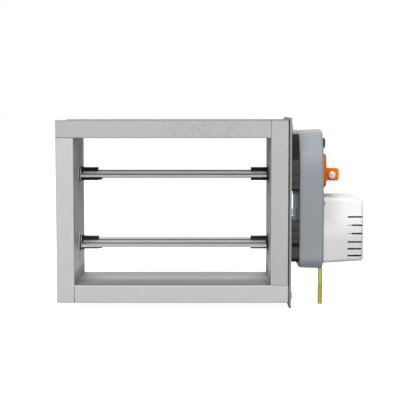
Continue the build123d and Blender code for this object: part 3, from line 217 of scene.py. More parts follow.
class Finish(Workshop):
    """One material: its shader and the nodes that drive it. Lengths are in millimetres."""

    def __init__(self, name, roughness=0.5, metallic=0.0, specular=0.5):
        self.material = bpy.data.materials.new(name)
        self.material.use_nodes = True
        super().__init__(self.material.node_tree)
        fixed = {"Roughness": roughness, "Metallic": metallic, "Specular IOR Level": specular}
        self.shader = self.node("ShaderNodeBsdfPrincipled", {}, fixed)
        self.node("ShaderNodeOutputMaterial", {}, {"Surface": self.shader.outputs[0]})

    def here(self, output):
        """Coordinates or normal in the piece's own frame."""
        return self.node("ShaderNodeTexCoord", {}, {}).outputs[output]

    def part(self, output, letter):
        """One part of the coordinates or of the normal."""
        node = self.node("ShaderNodeSeparateXYZ", {}, {0: self.here(output)})
        return Value(self, node.outputs[letter])

    def axis(self, letter):
        """Object coordinate along one axis."""
        return self.part("Object", letter) * (1 / MM)

    def facing(self, letter):
        """How far the surface faces along one axis of its own piece, from -1 to 1."""
        return self.part("Normal", letter)

    def place(self, stretch):
        """Object coordinates in metres, stretched."""
        inputs = {"Vector": self.here("Object"), "Scale": stretch}
        return self.node("ShaderNodeMapping", {}, inputs).outputs[0]

    def noise(self, scale, detail=3.0, rough=0.5, stretch=EVEN):
        """Cloudy pattern from 0 to 1."""
        inputs = {
            "Vector": self.place(stretch), "Scale": scale, "Detail": detail, "Roughness": rough,
        }
        return Value(self, self.node("ShaderNodeTexNoise", {}, inputs).outputs[0])

    def voronoi(self, scale, output, stretch=EVEN):
        """One output of a cell pattern."""
        inputs = {"Vector": self.place(stretch), "Scale": scale}
        return self.node("ShaderNodeTexVoronoi", {}, inputs).outputs[output]

    def cells(self, scale, stretch=EVEN):
        """A random number for each cell of a Voronoi pattern."""
        colour = self.voronoi(scale, "Color", stretch)
        return Value(self, self.node("ShaderNodeSeparateColor", {}, {0: colour}).outputs[0])

    def blend(self, factor, first, second, kind="MIX"):
        """Mix of two colours."""
        settings = {"data_type": "RGBA", "blend_type": kind}
        node = self.node("ShaderNodeMix", settings, {0: factor, 6: first, 7: second})
        return node.outputs[2]

    def open_air(self, reach):
        """1 where nothing stands within reach of the surface, towards 0 deep in a crevice."""
        inputs = {"Distance": reach * MM}
        node = self.node("ShaderNodeAmbientOcclusion", {"samples": 8}, inputs)
        return Value(self, node.outputs["AO"])

    def bump(self, height, depth, strength, edge=0.0):
        """Fine relief on the surface, and edges rounded a little."""
        inputs = {"Height": height, "Distance": depth * MM, "Strength": strength}
        if edge:
            bevel = self.node("ShaderNodeBevel", {"samples": 6}, {"Radius": edge * MM})
            inputs["Normal"] = bevel.outputs[0]
        node = self.node("ShaderNodeBump", {}, inputs)
        self.feed(self.shader.inputs["Normal"], node.outputs[0])

    def grain(self, scale, depth):
        """The grain of a moulding, also cut into its surface."""
        fine = self.noise(scale, detail=2.0)
        self.bump(fine, depth, strength=0.5, edge=0.3)
        return fine

    def paint(self, colour, roughness=None):
        """Link what changes over the surface."""
        self.feed(self.shader.inputs["Base Color"], colour)
        if roughness is not None:
            self.feed(self.shader.inputs["Roughness"], roughness)


def grey(level):
    """Grey of one level."""
    return (level, level, level, 1.0)


def tint(red, green, blue):
    """Opaque colour."""
    return (red, green, blue, 1.0)


BLACK = grey(0.0)


# Zinc coated sheet and screws
# A pair is where an effect starts and where it is full, and four numbers are where it starts,
# is full, starts to fade and ends. They are of facing, or along the axis that the name ends in.

SQUARE_ON = (0.9, 0.98)
ZINC_TONES = (grey(0.505), grey(0.55))
# Grey of the painted shade on outer folds and channel edges, and of the plate's darker edges
EDGE_DARK_ZINC = grey(0.2)

FOLD_FACING = (0.05, 0.3, 0.8, 0.97)
OUTER_Z = (88.0, 90.0)
OUTER_X = (113.0, 115.0)
FOLD_SHADE = 0.7
EDGE_DARK_BLUR = 0.1

# Painted light inside the duct: a lighter foot on the side walls, painted shade on its floor near
# the inlet and painted light towards the back, and painted shade on the walls just behind the
# front flange
WALL_FOOT_Z = (-67.0, -60.0, -47.0, -30.0)
WALL_FOOT_LIFT = 0.65
FLOOR_Z = (-74.0, -72.0)
FLOOR_Y = (-30.0, 10.0)
FLOOR_FRONT_SHADE = 0.25
FLOOR_BACK_LIFT = 0.5
INSIDE_FACING = (0.3, 0.5)
BEHIND_FLANGE_Y = (-45.0, -37.0)
BEHIND_FLANGE_SHADE = 0.35

BLOOM_START_BLUR = 30.0
BLOOM_END_BLUR = 12.0
BLOOM_SPOTS = (0.5, 0.66)
BLOOM_SHADE = 0.14

# Painted shade in crevices and beside nearby parts, from ambient occlusion
CREVICE_SHADE_REACH = 14.0
CREVICE_SHADE_AIR = (0.1, 0.75)
CREVICE_SHADE_STRENGTH = 0.5


def sheet_edge_darkening(f, edges):
    """How far the zinc is darkened: painted shade on the outer folds and channel edges, darker
    plate edges.
    """
    fold = abs(f.facing("Y")).between(*FOLD_FACING)
    outside = abs(f.axis("Z")).step(*OUTER_Z).larger((-f.axis("X")).step(*OUTER_X))
    # Painted shade on the rounded folds at the outside, then darker outer edges: painted shade on
    # the channels, a darker cut edge on the side plate
    darkened = fold * outside * FOLD_SHADE
    for letter, start, darkness in edges:
        darkened = darkened.larger(abs(f.axis(letter)).step(start, start + EDGE_DARK_BLUR) * darkness)
    return darkened


def sheet_light(f, tone, bloom):
    """How light the sheet is painted: a painted level for each flange face, painted shade inside
    the duct with a painted lighter foot on its side walls, and mottled zinc in a patch.
    """
    y = f.axis("Y")
    z = f.axis("Z")
    along = abs(f.facing("Y"))
    flange = along.step(*SQUARE_ON)
    side_wall = abs(f.facing("X")).step(*SQUARE_ON)
    floor = f.facing("Z").step(*SQUARE_ON) * z.fall(*FLOOR_Z)
    # tone is painted light: each flange face's own level, from how light falls on it
    light = 1 + (tone - 1) * flange + z.between(*WALL_FOOT_Z) * side_wall * WALL_FOOT_LIFT
    light = light * (1 - floor * (FLOOR_FRONT_SHADE - y.step(*FLOOR_Y) * FLOOR_BACK_LIFT))
    behind_flange = along.fall(*INSIDE_FACING) * y.fall(*BEHIND_FLANGE_Y)
    light = light * (1 - behind_flange * BEHIND_FLANGE_SHADE)
    if bloom:
        start, end = bloom
        patch = f.axis("X").between(start, start + BLOOM_START_BLUR, end - BLOOM_END_BLUR, end)
        mottle = f.noise(330.0, detail=3.0, rough=0.6).step(*BLOOM_SPOTS)
        light = light * (1 - mottle * patch * flange * BLOOM_SHADE)
    return light


def galvanised_sheet(name, stretch, tone=1.0, edges=(), bloom=None):
    """Hot dip zinc on folded sheet: faint spangle, rolling lines and cloudy patches.

    The lines run where stretch is small, and tone is the painted light level of the flange
    faces. Painted shade darkens the rounded folds at the outside, the duct's inside and its
    crevices. Edges are an axis, the millimetres from which an outer edge of the sheet is
    darkened, and how dark: painted shade on the channels, a darker cut edge on the plate.
    Bloom is the range of X, in millimetres, in which the zinc is mottled.
    """
    f = Finish(name, metallic=0.15, specular=0.0)
    spangle = f.cells(230.0)
    cloud = f.noise(22.0, detail=5.0, rough=0.62)
    lines = f.noise(1.0, detail=2.0, rough=0.6, stretch=stretch)
    pattern = spangle * 0.2 + cloud * 0.5 + lines * 0.8
    clean = f.blend(pattern.step(0.35, 1.15), *ZINC_TONES)
    # painted shade where other parts stand close
    crevice_shade = f.open_air(CREVICE_SHADE_REACH).fall(*CREVICE_SHADE_AIR)
    light = sheet_light(f, tone, bloom) * (1 - crevice_shade * CREVICE_SHADE_STRENGTH)
    lit = f.blend(1.0, clean, f.blend(light * 0.5, BLACK, grey(2.0)), kind="MULTIPLY")
    skin = f.blend(sheet_edge_darkening(f, edges), lit, EDGE_DARK_ZINC)
    f.paint(skin, 0.44 + spangle * 0.08 + cloud * 0.12)
    f.bump(spangle * 0.3 + lines * 0.5, depth=0.03, strength=0.5, edge=0.4)
    return f.material


def zinc_plate():
    """Bright zinc on screws and spindles, with a trace of blue."""
    f = Finish("zinc_plate", metallic=0.55, specular=0.3)
    patch = f.noise(300.0)
    f.paint(f.blend(patch, tint(0.53, 0.56, 0.59), tint(0.62, 0.65, 0.67)), 0.34 + patch * 0.15)
    f.bump(patch, depth=0.004, strength=0.3, edge=0.2)
    return f.material


# Aluminium blades

BLADE_HEIGHT = 36.25
# Painted shade on the blades, where their relief shades them: stripes along them and their long
# edges
BLADE_RIM_FACING = (0.6, 0.8)
BLADE_RIM_Z = (0.3, 0.5)
BLADE_RIM_Y = (34.8, 35.2)
BAND_BLUR = 0.8
BRIGHT_ALUMINIUM = grey(0.43)
SHADED_ALUMINIUM = grey(0.085)


def blade_extrusion(name, shade_bands, rim_shade):
    """Mill finish aluminium with fine lines, and stripes of painted shade along the blade.

    The shade_bands are pairs of millimetres from the blade's middle, rim_shade how much
    painted shade its long edges get. The blades' middles are BLADE_HEIGHT over and under the
    origin.
    """
    f = Finish(name, metallic=0.8, specular=0.2)
    lines = f.noise(1.0, detail=2.0, rough=0.6, stretch=(0.2, 700.0, 700.0))
    haze = f.noise(30.0)
    across = abs(f.axis("Y"))
    off_middle = abs(abs(f.axis("Z")) - BLADE_HEIGHT).step(*BLADE_RIM_Z)
    long_edge = abs(f.facing("Y")).step(*BLADE_RIM_FACING) * off_middle
    painted_shade = long_edge * across.fall(*BLADE_RIM_Y) * rim_shade
    for start, end in shade_bands:
        painted_shade = painted_shade.larger(across.between(start, start + BAND_BLUR, end - BAND_BLUR, end))
    dimmed = painted_shade * (0.86 + lines * 0.28 - haze * 0.06)
    f.paint(f.blend(dimmed, BRIGHT_ALUMINIUM, SHADED_ALUMINIUM), 0.26 + haze * 0.1 + painted_shade * 0.14)
    f.bump(lines, depth=0.008, strength=0.3, edge=0.2)
    return f.material


# Mouldings

PLASTIC_GRAIN = 2600.0
CASE_GRAIN = 2200.0
RUBBER_GRAIN = 1500.0
PATCHES = 45.0


def moulded(name, colour, shade, rough=0.5, specular=0.4):
    """Moulded plastic: fine grain and a slight change of tone."""
    f = Finish(name, specular=specular)
    skin = f.blend(f.noise(PATCHES), shade, colour)
    f.paint(skin, rough - 0.05 + f.grain(PLASTIC_GRAIN, depth=0.02) * 0.12)
    return f.material


COVER_WHITE = tint(1.0, 0.976, 0.964)
# Painted light on the cover: painted shade at its foot and beside the casing, and a painted
# highlight towards its outer end at the top
COVER_FOOT = 0.83
COVER_FOOT_Z = (-34.0, -20.0)
COVER_LIFT = 0.14
COVER_TOP_Z = (-24.0, -4.0)
COVER_FRONT_X = (156.0, 182.0)
COVER_FRONT_LIFT = 0.36
COVER_EDGE_X = (155.5, 159.0)
COVER_EDGE = 0.94
COVER_BRIGHTEST = 1.2
# Painted shade on faces that look up, and in the vent slots
TOP_SHADE_FACING = (0.3, 0.95)
TOP_SHADE = 0.2
SLOT_REACH = 2.5
SLOT_AIR = (0.15, 0.8)


def white_cover():
    """White moulding: painted shade at its foot, beside the casing, on top and in its slots, and a
    painted highlight at its outer top.
    """
    f = Finish("cover_white", specular=0.2)
    x = f.axis("X")
    z = f.axis("Z")
    cloud = f.noise(PATCHES)
    front_lift = x.step(*COVER_FRONT_X) * COVER_FRONT_LIFT
    light = COVER_FOOT + z.step(*COVER_FOOT_Z) * COVER_LIFT
    light = light + z.step(*COVER_TOP_Z) * (front_lift - COVER_LIFT)
    light = light * (COVER_EDGE + x.step(*COVER_EDGE_X) * (1 - COVER_EDGE))
    # painted shade on faces that look up
    light = light * (1 - f.facing("Z").step(*TOP_SHADE_FACING) * TOP_SHADE)
    light = light / COVER_BRIGHTEST * (0.99 + cloud * 0.02)
    skin = f.blend(light, BLACK, COVER_WHITE)
    # painted shade: near black in the vent slots
    skin = f.blend(f.open_air(SLOT_REACH).step(*SLOT_AIR), grey(0.004), skin)
    f.paint(skin, 0.4 + f.grain(CASE_GRAIN, depth=0.03) * 0.12)
    return f.material


CASE_GREY = tint(0.305, 0.328, 0.345)
# Painted light on the casing: its arch and its foot are painted lighter
CASE_LIGHT = 0.92
CASE_ARCH_Z = (50.0, 78.0)
CASE_ARCH_LIFT = 0.36
CASE_FOOT_Z = (-56.0, -36.0)
CASE_FOOT_LIFT = 0.12


def grey_casing():
    """Grey moulding, with painted light: a little lighter on its arch and at its foot."""
    f = Finish("casing_grey", specular=0.3)
    z = f.axis("Z")
    cloud = f.noise(PATCHES)
    light = CASE_LIGHT + z.step(*CASE_ARCH_Z) * CASE_ARCH_LIFT
    light = light + z.fall(*CASE_FOOT_Z) * CASE_FOOT_LIFT
    skin = f.blend(light * (0.98 + cloud * 0.04), BLACK, CASE_GREY)
    f.paint(skin, 0.37 + f.grain(CASE_GRAIN, depth=0.03) * 0.12)
    return f.material


DUSTY_RUBBER = tint(0.088, 0.092, 0.098)
# Painted shade in the pad's upper channel and at its joints
PAD_CHANNEL_Z = (50.0, 54.0)
PAD_CHANNEL_SHADE = 0.72
PAD_JOINT_SHADE = 0.85
# Height of each joint between the ribs, and half its width where its painted shade is darkest and
# where it ends.
PAD_JOINTS = ((-35.7, 1.6, 2.6), (20.5, 1.2, 2.4), (-53.0, 3.0, 4.0))


def ribbed_rubber():
    """Black rubber pad, with painted shade in its upper channel and at the joints between its
    ribs.
    """
    f = Finish("pad_rubber", roughness=0.7, specular=0.1)
    z = f.axis("Z")
    fine = f.grain(RUBBER_GRAIN, depth=0.04)
    light = (1 - z.step(*PAD_CHANNEL_Z) * PAD_CHANNEL_SHADE) * (0.8 + fine * 0.4)
    joint = 0.0
    for height, darkest, end in PAD_JOINTS:
        joint = abs(z - height).fall(darkest, end).larger(joint)
    f.paint(f.blend(light * (1 - joint * PAD_JOINT_SHADE), grey(0.003), DUSTY_RUBBER))
    return f.material


def foam_strip():
    """Closed cell foam: small round pits."""
    f = Finish("foam_strip", roughness=0.95, specular=0.2)
    pit = Value(f, f.voronoi(1400.0, "Distance"))
    f.paint(f.blend(pit.step(0.0, 0.6), grey(0.012), grey(0.05)))
    f.bump(pit, depth=0.2, strength=0.8)
    return f.material


def circuit_board():
    """Green solder mask with paler tracks."""
    f = Finish("circuit_board", roughness=0.35)
    tracks = f.cells(1.0, stretch=(1.0, 320.0, 260.0)).step(0.45, 0.5)
    f.paint(f.blend(tracks, tint(0.02, 0.16, 0.07), tint(0.05, 0.27, 0.12)))
    return f.material


# Which piece has which finish

LEVEL_LINES = (12.0, 700.0, 700.0)
UPRIGHT_LINES = (700.0, 700.0, 12.0)
# Stripes of painted shade on each blade, in millimetres from its middle
UPPER_SHADE_BANDS = ((4.4, 10.4), (27.0, 34.7))
LOWER_SHADE_BANDS = ((4.6, 12.5), (20.5, 32.0))
TOP_BLOOM = (-25.0, 74.0)
# Axis that an outer edge ends, how far in the zinc is darkened there, and how dark: painted shade
# on the channels, a darker cut edge on the side plate
CHANNEL_EDGE_SHADE = (("X", 0.7, 0.4), ("Z", 0.9, 0.5))
PLATE_EDGE_DARKENING = (("Y", 0.2, 0.7), ("Z", 0.2, 0.95))


def make_finishes():
    """All finishes by the record's slot."""
    return {
        "galvanised_steel": galvanised_sheet("bracket_sheet", LEVEL_LINES),
        "zinc_plated_steel": zinc_plate(),
        "blade_aluminium": blade_extrusion("upper_extrusion", UPPER_SHADE_BANDS, rim_shade=1.0),
        "black_plastic": moulded(
            "black_plastic", grey(0.016), grey(0.010), rough=0.42, specular=0.2
        ),
        "bush_plastic": moulded("bush_plastic", grey(0.80), grey(0.74), rough=0.45),
        "dark_plastic": moulded("dark_plastic", grey(0.11), grey(0.09), specular=0.2),
        "gear_plastic": moulded(
            "gear_plastic", tint(0.62, 0.61, 0.57), tint(0.56, 0.55, 0.51), rough=0.4
        ),
        "pad_rubber": ribbed_rubber(),
        "foam_rubber": foam_strip(),
        "casing_grey": grey_casing(),
        "cover_white": white_cover(),
        "clamp_orange": moulded(
            "clamp_orange", tint(1.0, 0.195, 0.001), tint(0.93, 0.175, 0.001), specular=0.01
        ),
        "motor_metal": zinc_plate(),
        "board_green": circuit_board(),
        "lead_yellow_green": moulded(
            "lead_sheath", tint(0.46, 0.43, 0.0), tint(0.37, 0.36, 0.0), specular=0.02
        ),
    }


finishes = make_finishes()


def dress(name, material):
    """Put one material in all the slots of a node."""
    for held in frame["nodes"][name].material_slots:
        held.material = material


def edges_at(corner, darkening):
    """Darkened strips just inside a corner of a box, as axis, place and how dark."""
    return [
        (letter, abs(corner["XYZ".index(letter)]) / MM - depth, darkness)
        for letter, depth, darkness in darkening
    ]


def dress_cad():
    """Give every node the finish of its slot, and each large sheet a finish of its own."""
    for part in frame["record"]["subparts"]:
        dress(part["node"], finishes[part["material_slot"]])
    channel = edges_at(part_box("frame_left")[0], CHANNEL_EDGE_SHADE)
    plate = edges_at(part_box("drive_side_plate")[1], PLATE_EDGE_DARKENING)
    # Name, lines, painted light level of the flange faces, darkened edges and mottled patch
    sheets = (
        ("frame_top", LEVEL_LINES, 0.86, channel, TOP_BLOOM),
        ("frame_bottom", LEVEL_LINES, 1.06, channel, None),
        ("frame_left", UPRIGHT_LINES, 1.05, channel, None),
        ("frame_right", UPRIGHT_LINES, 0.88, channel, None),
        ("drive_side_plate", UPRIGHT_LINES, 1.0, plate, None),
    )
    for name, stretch, tone, edges, bloom in sheets:
        dress(name, galvanised_sheet(f"{name}_sheet", stretch, tone, edges, bloom))


dress_cad()


# Turned pieces

class Shaper(Workshop):
    """A Geometry Nodes tree with named sizes, which ends in plain geometry with one finish."""

    def __init__(self, name, sizes):
        super().__init__(bpy.data.node_groups.new(name, "GeometryNodeTree"))
        face = self.tree.interface
        face.new_socket("Geometry", in_out="INPUT", socket_type="NodeSocketGeometry")
        for size in sizes:
            face.new_socket(size, in_out="INPUT", socket_type="NodeSocketFloat")
        face.new_socket("Geometry", in_out="OUTPUT", socket_type="NodeSocketGeometry")
        self.given = self.node("NodeGroupInput", {}, {})

    def size(self, name):
        """One of the named sizes."""
        return Value(self, self.given.outputs[name])

    def turned(self, around, along, shape):
        """Closed skin about Z.

        Shape gives radius and height for an angle and a rise from 0 to 1.
        """
        counts = {
            "Size X": 1.0, "Size Y": 1.0, "Vertices X": around + 1, "Vertices Y": along + 1,
        }
        sheet = self.node("GeometryNodeMeshGrid", {}, counts)
        where = self.node("GeometryNodeInputPosition", {}, {})
        split = self.node("ShaderNodeSeparateXYZ", {}, {0: where.outputs[0]})
        angle = (Value(self, split.outputs[0]) + 0.5) * math.tau
        rise = Value(self, split.outputs[1]) + 0.5
        radius, height = shape(angle, rise)
        across = {0: radius * angle.cosine(), 1: radius * angle.sine(), 2: height}
        point = self.node("ShaderNodeCombineXYZ", {}, across)
        put = {"Geometry": sheet.outputs["Mesh"], "Position": point.outputs[0]}
        moved = self.node("GeometryNodeSetPosition", {}, put)
        weld = {"Geometry": moved.outputs[0], "Distance": 0.001 * MM}
        return self.node("GeometryNodeMergeByDistance", {}, weld).outputs[0]

    def stand(self, pieces, material):
        """Stand the joined pieces on every point.

        They face as the point does, and each is turned by its own angle.
        """
        joined = self.node("GeometryNodeJoinGeometry", {}, {})
        for piece in reversed(pieces):
            self.tree.links.new(piece, joined.inputs[0])
        vector = {"data_type": "FLOAT_VECTOR"}
        facing = self.node("GeometryNodeInputNamedAttribute", vector, {"Name": "facing"})
        aim = {"Vector": facing.outputs[0]}
        aimed = self.node("FunctionNodeAlignRotationToVector", {"axis": "Z"}, aim)
        put = {
            "Points": self.given.outputs["Geometry"],
            "Instance": joined.outputs[0],
            "Rotation": aimed.outputs[0],
        }
        stood = self.node("GeometryNodeInstanceOnPoints", {}, put)
        turn = {"Min": (0.0, 0.0, 0.0), "Max": (0.0, 0.0, math.tau), "Seed": 5}
        spin = self.node("FunctionNodeRandomValue", vector, turn)
        spun = {"Instances": stood.outputs[0], "Rotation": spin.outputs[0]}
        turned = self.node("GeometryNodeRotateInstances", {}, spun)
        real = self.node("GeometryNodeRealizeInstances", {}, {"Geometry": turned.outputs[0]})
        skin = {"Geometry": real.outputs[0], "Material": material}
        done = self.node("GeometryNodeSetMaterial", {}, skin)
        self.node("NodeGroupOutput", {}, {"Geometry": done.outputs[0]})


# The clamp screw's shank is as long as its node.
PLATE_SCREW = {
    "Head Diameter": 7.0, "Head Height": 1.8,
    "Recess Reach": 4.2, "Recess Width": 1.0, "Recess Depth": 1.1,
    "Shank Diameter": 3.9, "Shank Length": 8.0, "Thread Depth": 0.5, "Pitch": 1.3,
}
CASE_SCREW = {
    "Head Diameter": 4.2, "Head Height": 1.3,
    "Recess Reach": 2.6, "Recess Width": 0.7, "Recess Depth": 0.8,
    "Shank Diameter": 2.6, "Shank Length": 6.0, "Thread Depth": 0.3, "Pitch": 0.9,
}
CLAMP_SCREW = {
    "Head Diameter": 8.2, "Head Height": 3.0,
    "Recess Reach": 4.6, "Recess Width": 0.9, "Recess Depth": 1.0,
    "Shank Diameter": 4.0, "Thread Depth": 0.35, "Pitch": 0.7,
}


def screw_maker():
    """Pan head screw with a cross recess and a cut thread, seat at the origin, head along +Z."""
    s = Shaper("pan_screw", PLATE_SCREW.keys())
    dome_share = 0.86
    dome_fullness = 0.45
    dome_edge = 0.01
    recess_slope = 0.16 * MM
    recess_end = 0.3 * MM
    point_start = 0.82
    thread_start = 0.004

    def head(angle, rise):
        dome = (rise / dome_share).smaller(1.0) * (math.pi / 2)
        inward = (rise - dome_share).larger(0.0) / (1 - dome_share)
        radius = s.size("Head Diameter") * 0.5 * dome.sine() * (1 - inward)
        across = abs(radius * angle.cosine())
        along = abs(radius * angle.sine())
        arm = (across.smaller(along) - s.size("Recess Width") * 0.5).fall(0.0, recess_slope)
        reach = (across.larger(along) - s.size("Recess Reach") * 0.5).fall(-recess_end, 0.0)
        recess = s.size("Recess Depth") * arm * reach * inward.fall(0.0, dome_edge)
        height = s.size("Head Height") * dome.cosine().larger(0.0).power(dome_fullness)
        return radius, height - recess

    def shank(angle, rise):
        length = s.size("Shank Length")
        turns = rise * length / s.size("Pitch") + angle / math.tau
        valley = abs(turns.fraction() - 0.5) * 2
        taper = rise.fall(point_start, 1.0)
        core = s.size("Shank Diameter") * 0.5 - valley * s.size("Thread Depth")
        return core * taper * rise.step(0.0, thread_start), -(rise * length)

    parts = [s.turned(around=48, along=26, shape=head), s.turned(around=20, along=72, shape=shank)]
    s.stand(parts, finishes["zinc_plated_steel"])
    return s.tree


def spring_maker():
    """Compression spring along +Z from its seat at the origin."""
    s = Shaper("coil_spring", ("Coil Diameter", "Wire Diameter", "Free Length", "Turns"))
    wire = s.size("Wire Diameter")
    radius = (s.size("Coil Diameter") - wire) * 0.5
    coil = {
        "Resolution": 32,
        "Rotations": s.size("Turns"),
        "Start Radius": radius,
        "End Radius": radius,
        "Height": s.size("Free Length") - wire,
    }
    path = s.node("GeometryNodeCurveSpiral", {}, coil)
    ring = {"Resolution": 10, "Radius": wire * 0.5}
    section = s.node("GeometryNodeCurvePrimitiveCircle", {}, ring)
    skin = {"Curve": path.outputs[0], "Profile Curve": section.outputs[0], "Fill Caps": True}
    wound = s.node("GeometryNodeCurveToMesh", {}, skin)
    s.stand([wound.outputs[0]], finishes["zinc_plated_steel"])
    return s.tree


# Digits, in metres, by which the solids of a node are put in order
ORDER_DIGITS = 5


def solid_boxes(node):
    """Lowest and highest corner of each separate solid of a node."""
    shape = bmesh.new()
    shape.from_mesh(frame["nodes"][node].data)
    bmesh.ops.remove_doubles(shape, verts=shape.verts, dist=0.01 * MM)
    left = set(shape.verts)
    boxes = []
    while left:
        edge = [left.pop()]
        found = []
        while edge:
            vert = edge.pop()
            found.append(vert.co.copy())
            for link in vert.link_edges:
                other = link.other_vert(vert)
                if other in left:
                    left.remove(other)
                    edge.append(other)
        low = Vector([min(point[axis] for point in found) for axis in range(3)])
        high = Vector([max(point[axis] for point in found) for axis in range(3)])
        boxes.append((low, high))
    shape.free()
    return sorted(boxes, key=lambda box: tuple(round(value, ORDER_DIGITS) for value in box[0]))


def close_mesh(shape, mesh, sharp_degrees):
    """Write a finished shape to its mesh, with soft faces between sharp edges."""
    bmesh.ops.recalc_face_normals(shape, faces=shape.faces)
    shape.to_mesh(mesh)
    shape.free()
    mesh.shade_smooth()
    mesh.set_sharp_from_angle(angle=math.radians(sharp_degrees))


# Sizes of a maker that are plain numbers, and not lengths
COUNTS = ("Turns",)


def stand_pieces(maker, node, body, seats, sizes):
    """Replace a node by made pieces; seats are pairs of a point and a direction."""
    mesh = bpy.data.meshes.new(f"{node}_seats")
    mesh.from_pydata([point for point, direction in seats], [], [])
    facing = mesh.attributes.new("facing", "FLOAT_VECTOR", "POINT")
    for held, (point, direction) in zip(facing.data, seats):
        held.vector = direction
    stand = add_object(f"{node}_seats", mesh)
    modifier = stand.modifiers.new("maker", "NODES")
    modifier.node_group = maker
    for socket in maker.interface.items_tree:
        if socket.name in sizes:
            unit = 1.0 if socket.name in COUNTS else MM
            modifier[socket.identifier] = sizes[socket.name] * unit
    bpy.context.view_layer.update()
    stood = stand.evaluated_get(bpy.context.evaluated_depsgraph_get())
    made = bpy.data.meshes.new_from_object(stood)
    bpy.data.objects.remove(stand)
    shape = bmesh.new()
    shape.from_mesh(made)
    close_mesh(shape, made, sharp_degrees=35)
    piece = add_object(f"{node}_made", made)
    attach(piece, body)
    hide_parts(node)
    return piece


X_AXIS = 0
Y_AXIS = 1
CASE_MIDDLE_X = 150.0 * MM


def head_seat(low, high, axis, sign, screw):
    """Point under the head of a screw that fills a box, and the way that its head faces."""
    point = list(middle(low, high))
    end = high if sign > 0 else low
    point[axis] = end[axis] - sign * screw["Head Height"] * MM
    direction = [0.0, 0.0, 0.0]
    direction[axis] = float(sign)
    return tuple(point), tuple(direction)


def make_screws(maker):
    """Screws at the side plate's edges, case screws behind and in front, and the clamp screw."""
    plate_seats = [
        head_seat(low, high, X_AXIS, 1, PLATE_SCREW) for low, high in solid_boxes("plate_screws")
    ]
    stand_pieces(maker, "plate_screws", "frame", plate_seats, PLATE_SCREW)
    case_seats = [
        head_seat(low, high, X_AXIS, 1 if high.x > CASE_MIDDLE_X else -1, CASE_SCREW)
        for low, high in solid_boxes("housing_screws")
    ]
    stand_pieces(maker, "housing_screws", "frame", case_seats, CASE_SCREW)
    low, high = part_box("clamp_screw")
    clamp_seats = [head_seat(low, high, Y_AXIS, -1, CLAMP_SCREW)]
    shank = (high.y - low.y - CLAMP_SCREW["Head Height"] * MM) / MM
    sizes = {**CLAMP_SCREW, "Shank Length": shank}
    stand_pieces(maker, "clamp_screw", "upper_blade_set", clamp_seats, sizes)


SPRING_WIRE = 0.7


def make_spring(maker):
    """Spring behind the release button, at its free length, with a mesh of its own."""
    low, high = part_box("button_spring")
    centre = middle(low, high)
    free = (high.x - low.x) / MM
    seat = (low.x + SPRING_WIRE * MM / 2, centre.y, centre.z)
    sizes = {
        "Coil Diameter": 7.0, "Wire Diameter": SPRING_WIRE, "Free Length": free, "Turns": 4.0,
    }
    spring = stand_pieces(maker, "button_spring", "frame", [(seat, (1.0, 0.0, 0.0))], sizes)
    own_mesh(spring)


make_screws(screw_maker())
make_spring(spring_maker())


# Blades: half widths and heights of the section, from its middle

BLADE_BODY_HALF = 34.6
BLADE_TIP_HALF = 37.5
SKIN_HEIGHT = 3.2
SKIN_FALL = 2.0
SKIN_BENDS = (9.0, 17.0, 26.5)
LIP_TOP = 1.2
LIP_BOTTOM = 0.4
LIP_CHAMFER = 0.3

RIB_HALF = 5.6
RIB_SLOPE = 0.5
RIB_HEIGHT = 0.9

GROOVES = (13.0, 21.5, 32.0)
GROOVE_DEPTH = 0.25
GROOVE_FLOOR_HALF = 0.25
GROOVE_HALF = 0.45

HOLLOW_START = 5.0
HOLLOW_END = 33.5
HOLLOW_STEPS = 6
HOLLOW_HEIGHT = 2.1
HOLLOW_FALL = 1.45

# Along the blade: where the rib begins and is full, from what holds the blade, and how far
# the idle adapter's tongue under the blade reaches past the jaw over it.
RIB_START = 0.1
RIB_FULL = 0.4
TONGUE_REACH = 4.2


def blade_skin(across, rib):
    """Height of the blade's skin over its middle plane, with its rib and die grooves."""
    height = SKIN_HEIGHT - SKIN_FALL * (across / BLADE_BODY_HALF) ** 2
    away = abs(across)
    if away < RIB_HALF:
        height += rib * min(1.0, (RIB_HALF - away) / RIB_SLOPE)
    if any(abs(away - groove) < (GROOVE_FLOOR_HALF + GROOVE_HALF) / 2 for groove in GROOVES):
        height -= GROOVE_DEPTH
    return height


def blade_stops():
    """Places across the blade at which its skin bends."""
    stops = {0.0, RIB_HALF - RIB_SLOPE, RIB_HALF, *SKIN_BENDS, BLADE_BODY_HALF}
    for groove in GROOVES:
        for away in (GROOVE_FLOOR_HALF, GROOVE_HALF):
            stops.update((groove - away, groove + away))
    return sorted({-stop for stop in stops} | stops)


def blade_side(rib):
    """One side of the blade's section with its lap lip, as Y and Z."""
    side = [(across, blade_skin(across, rib)) for across in blade_stops()]
    lip = [
        (BLADE_TIP_HALF - LIP_CHAMFER, LIP_TOP),
        (BLADE_TIP_HALF, LIP_TOP - LIP_CHAMFER),
        (BLADE_TIP_HALF, LIP_BOTTOM),
        (BLADE_BODY_HALF, LIP_BOTTOM),
    ]
    return side + lip


def opposite(points):
    """The points of a section turned by half a turn."""
    return [(-across, -height) for across, height in points]


def blade_loops(top_rib, under_rib):
    """Outer edge and two hollows of the blade's section."""
    outer = blade_side(top_rib) + opposite(blade_side(under_rib))
    width = HOLLOW_END - HOLLOW_START
    hollow = [HOLLOW_START + width * step / HOLLOW_STEPS for step in range(HOLLOW_STEPS + 1)]
    upper = [
        (across, HOLLOW_HEIGHT - HOLLOW_FALL * (across / HOLLOW_END) ** 2) for across in hollow
    ]
    right = upper + [(across, -height) for across, height in reversed(upper)]
    return [outer, right, opposite(right)]


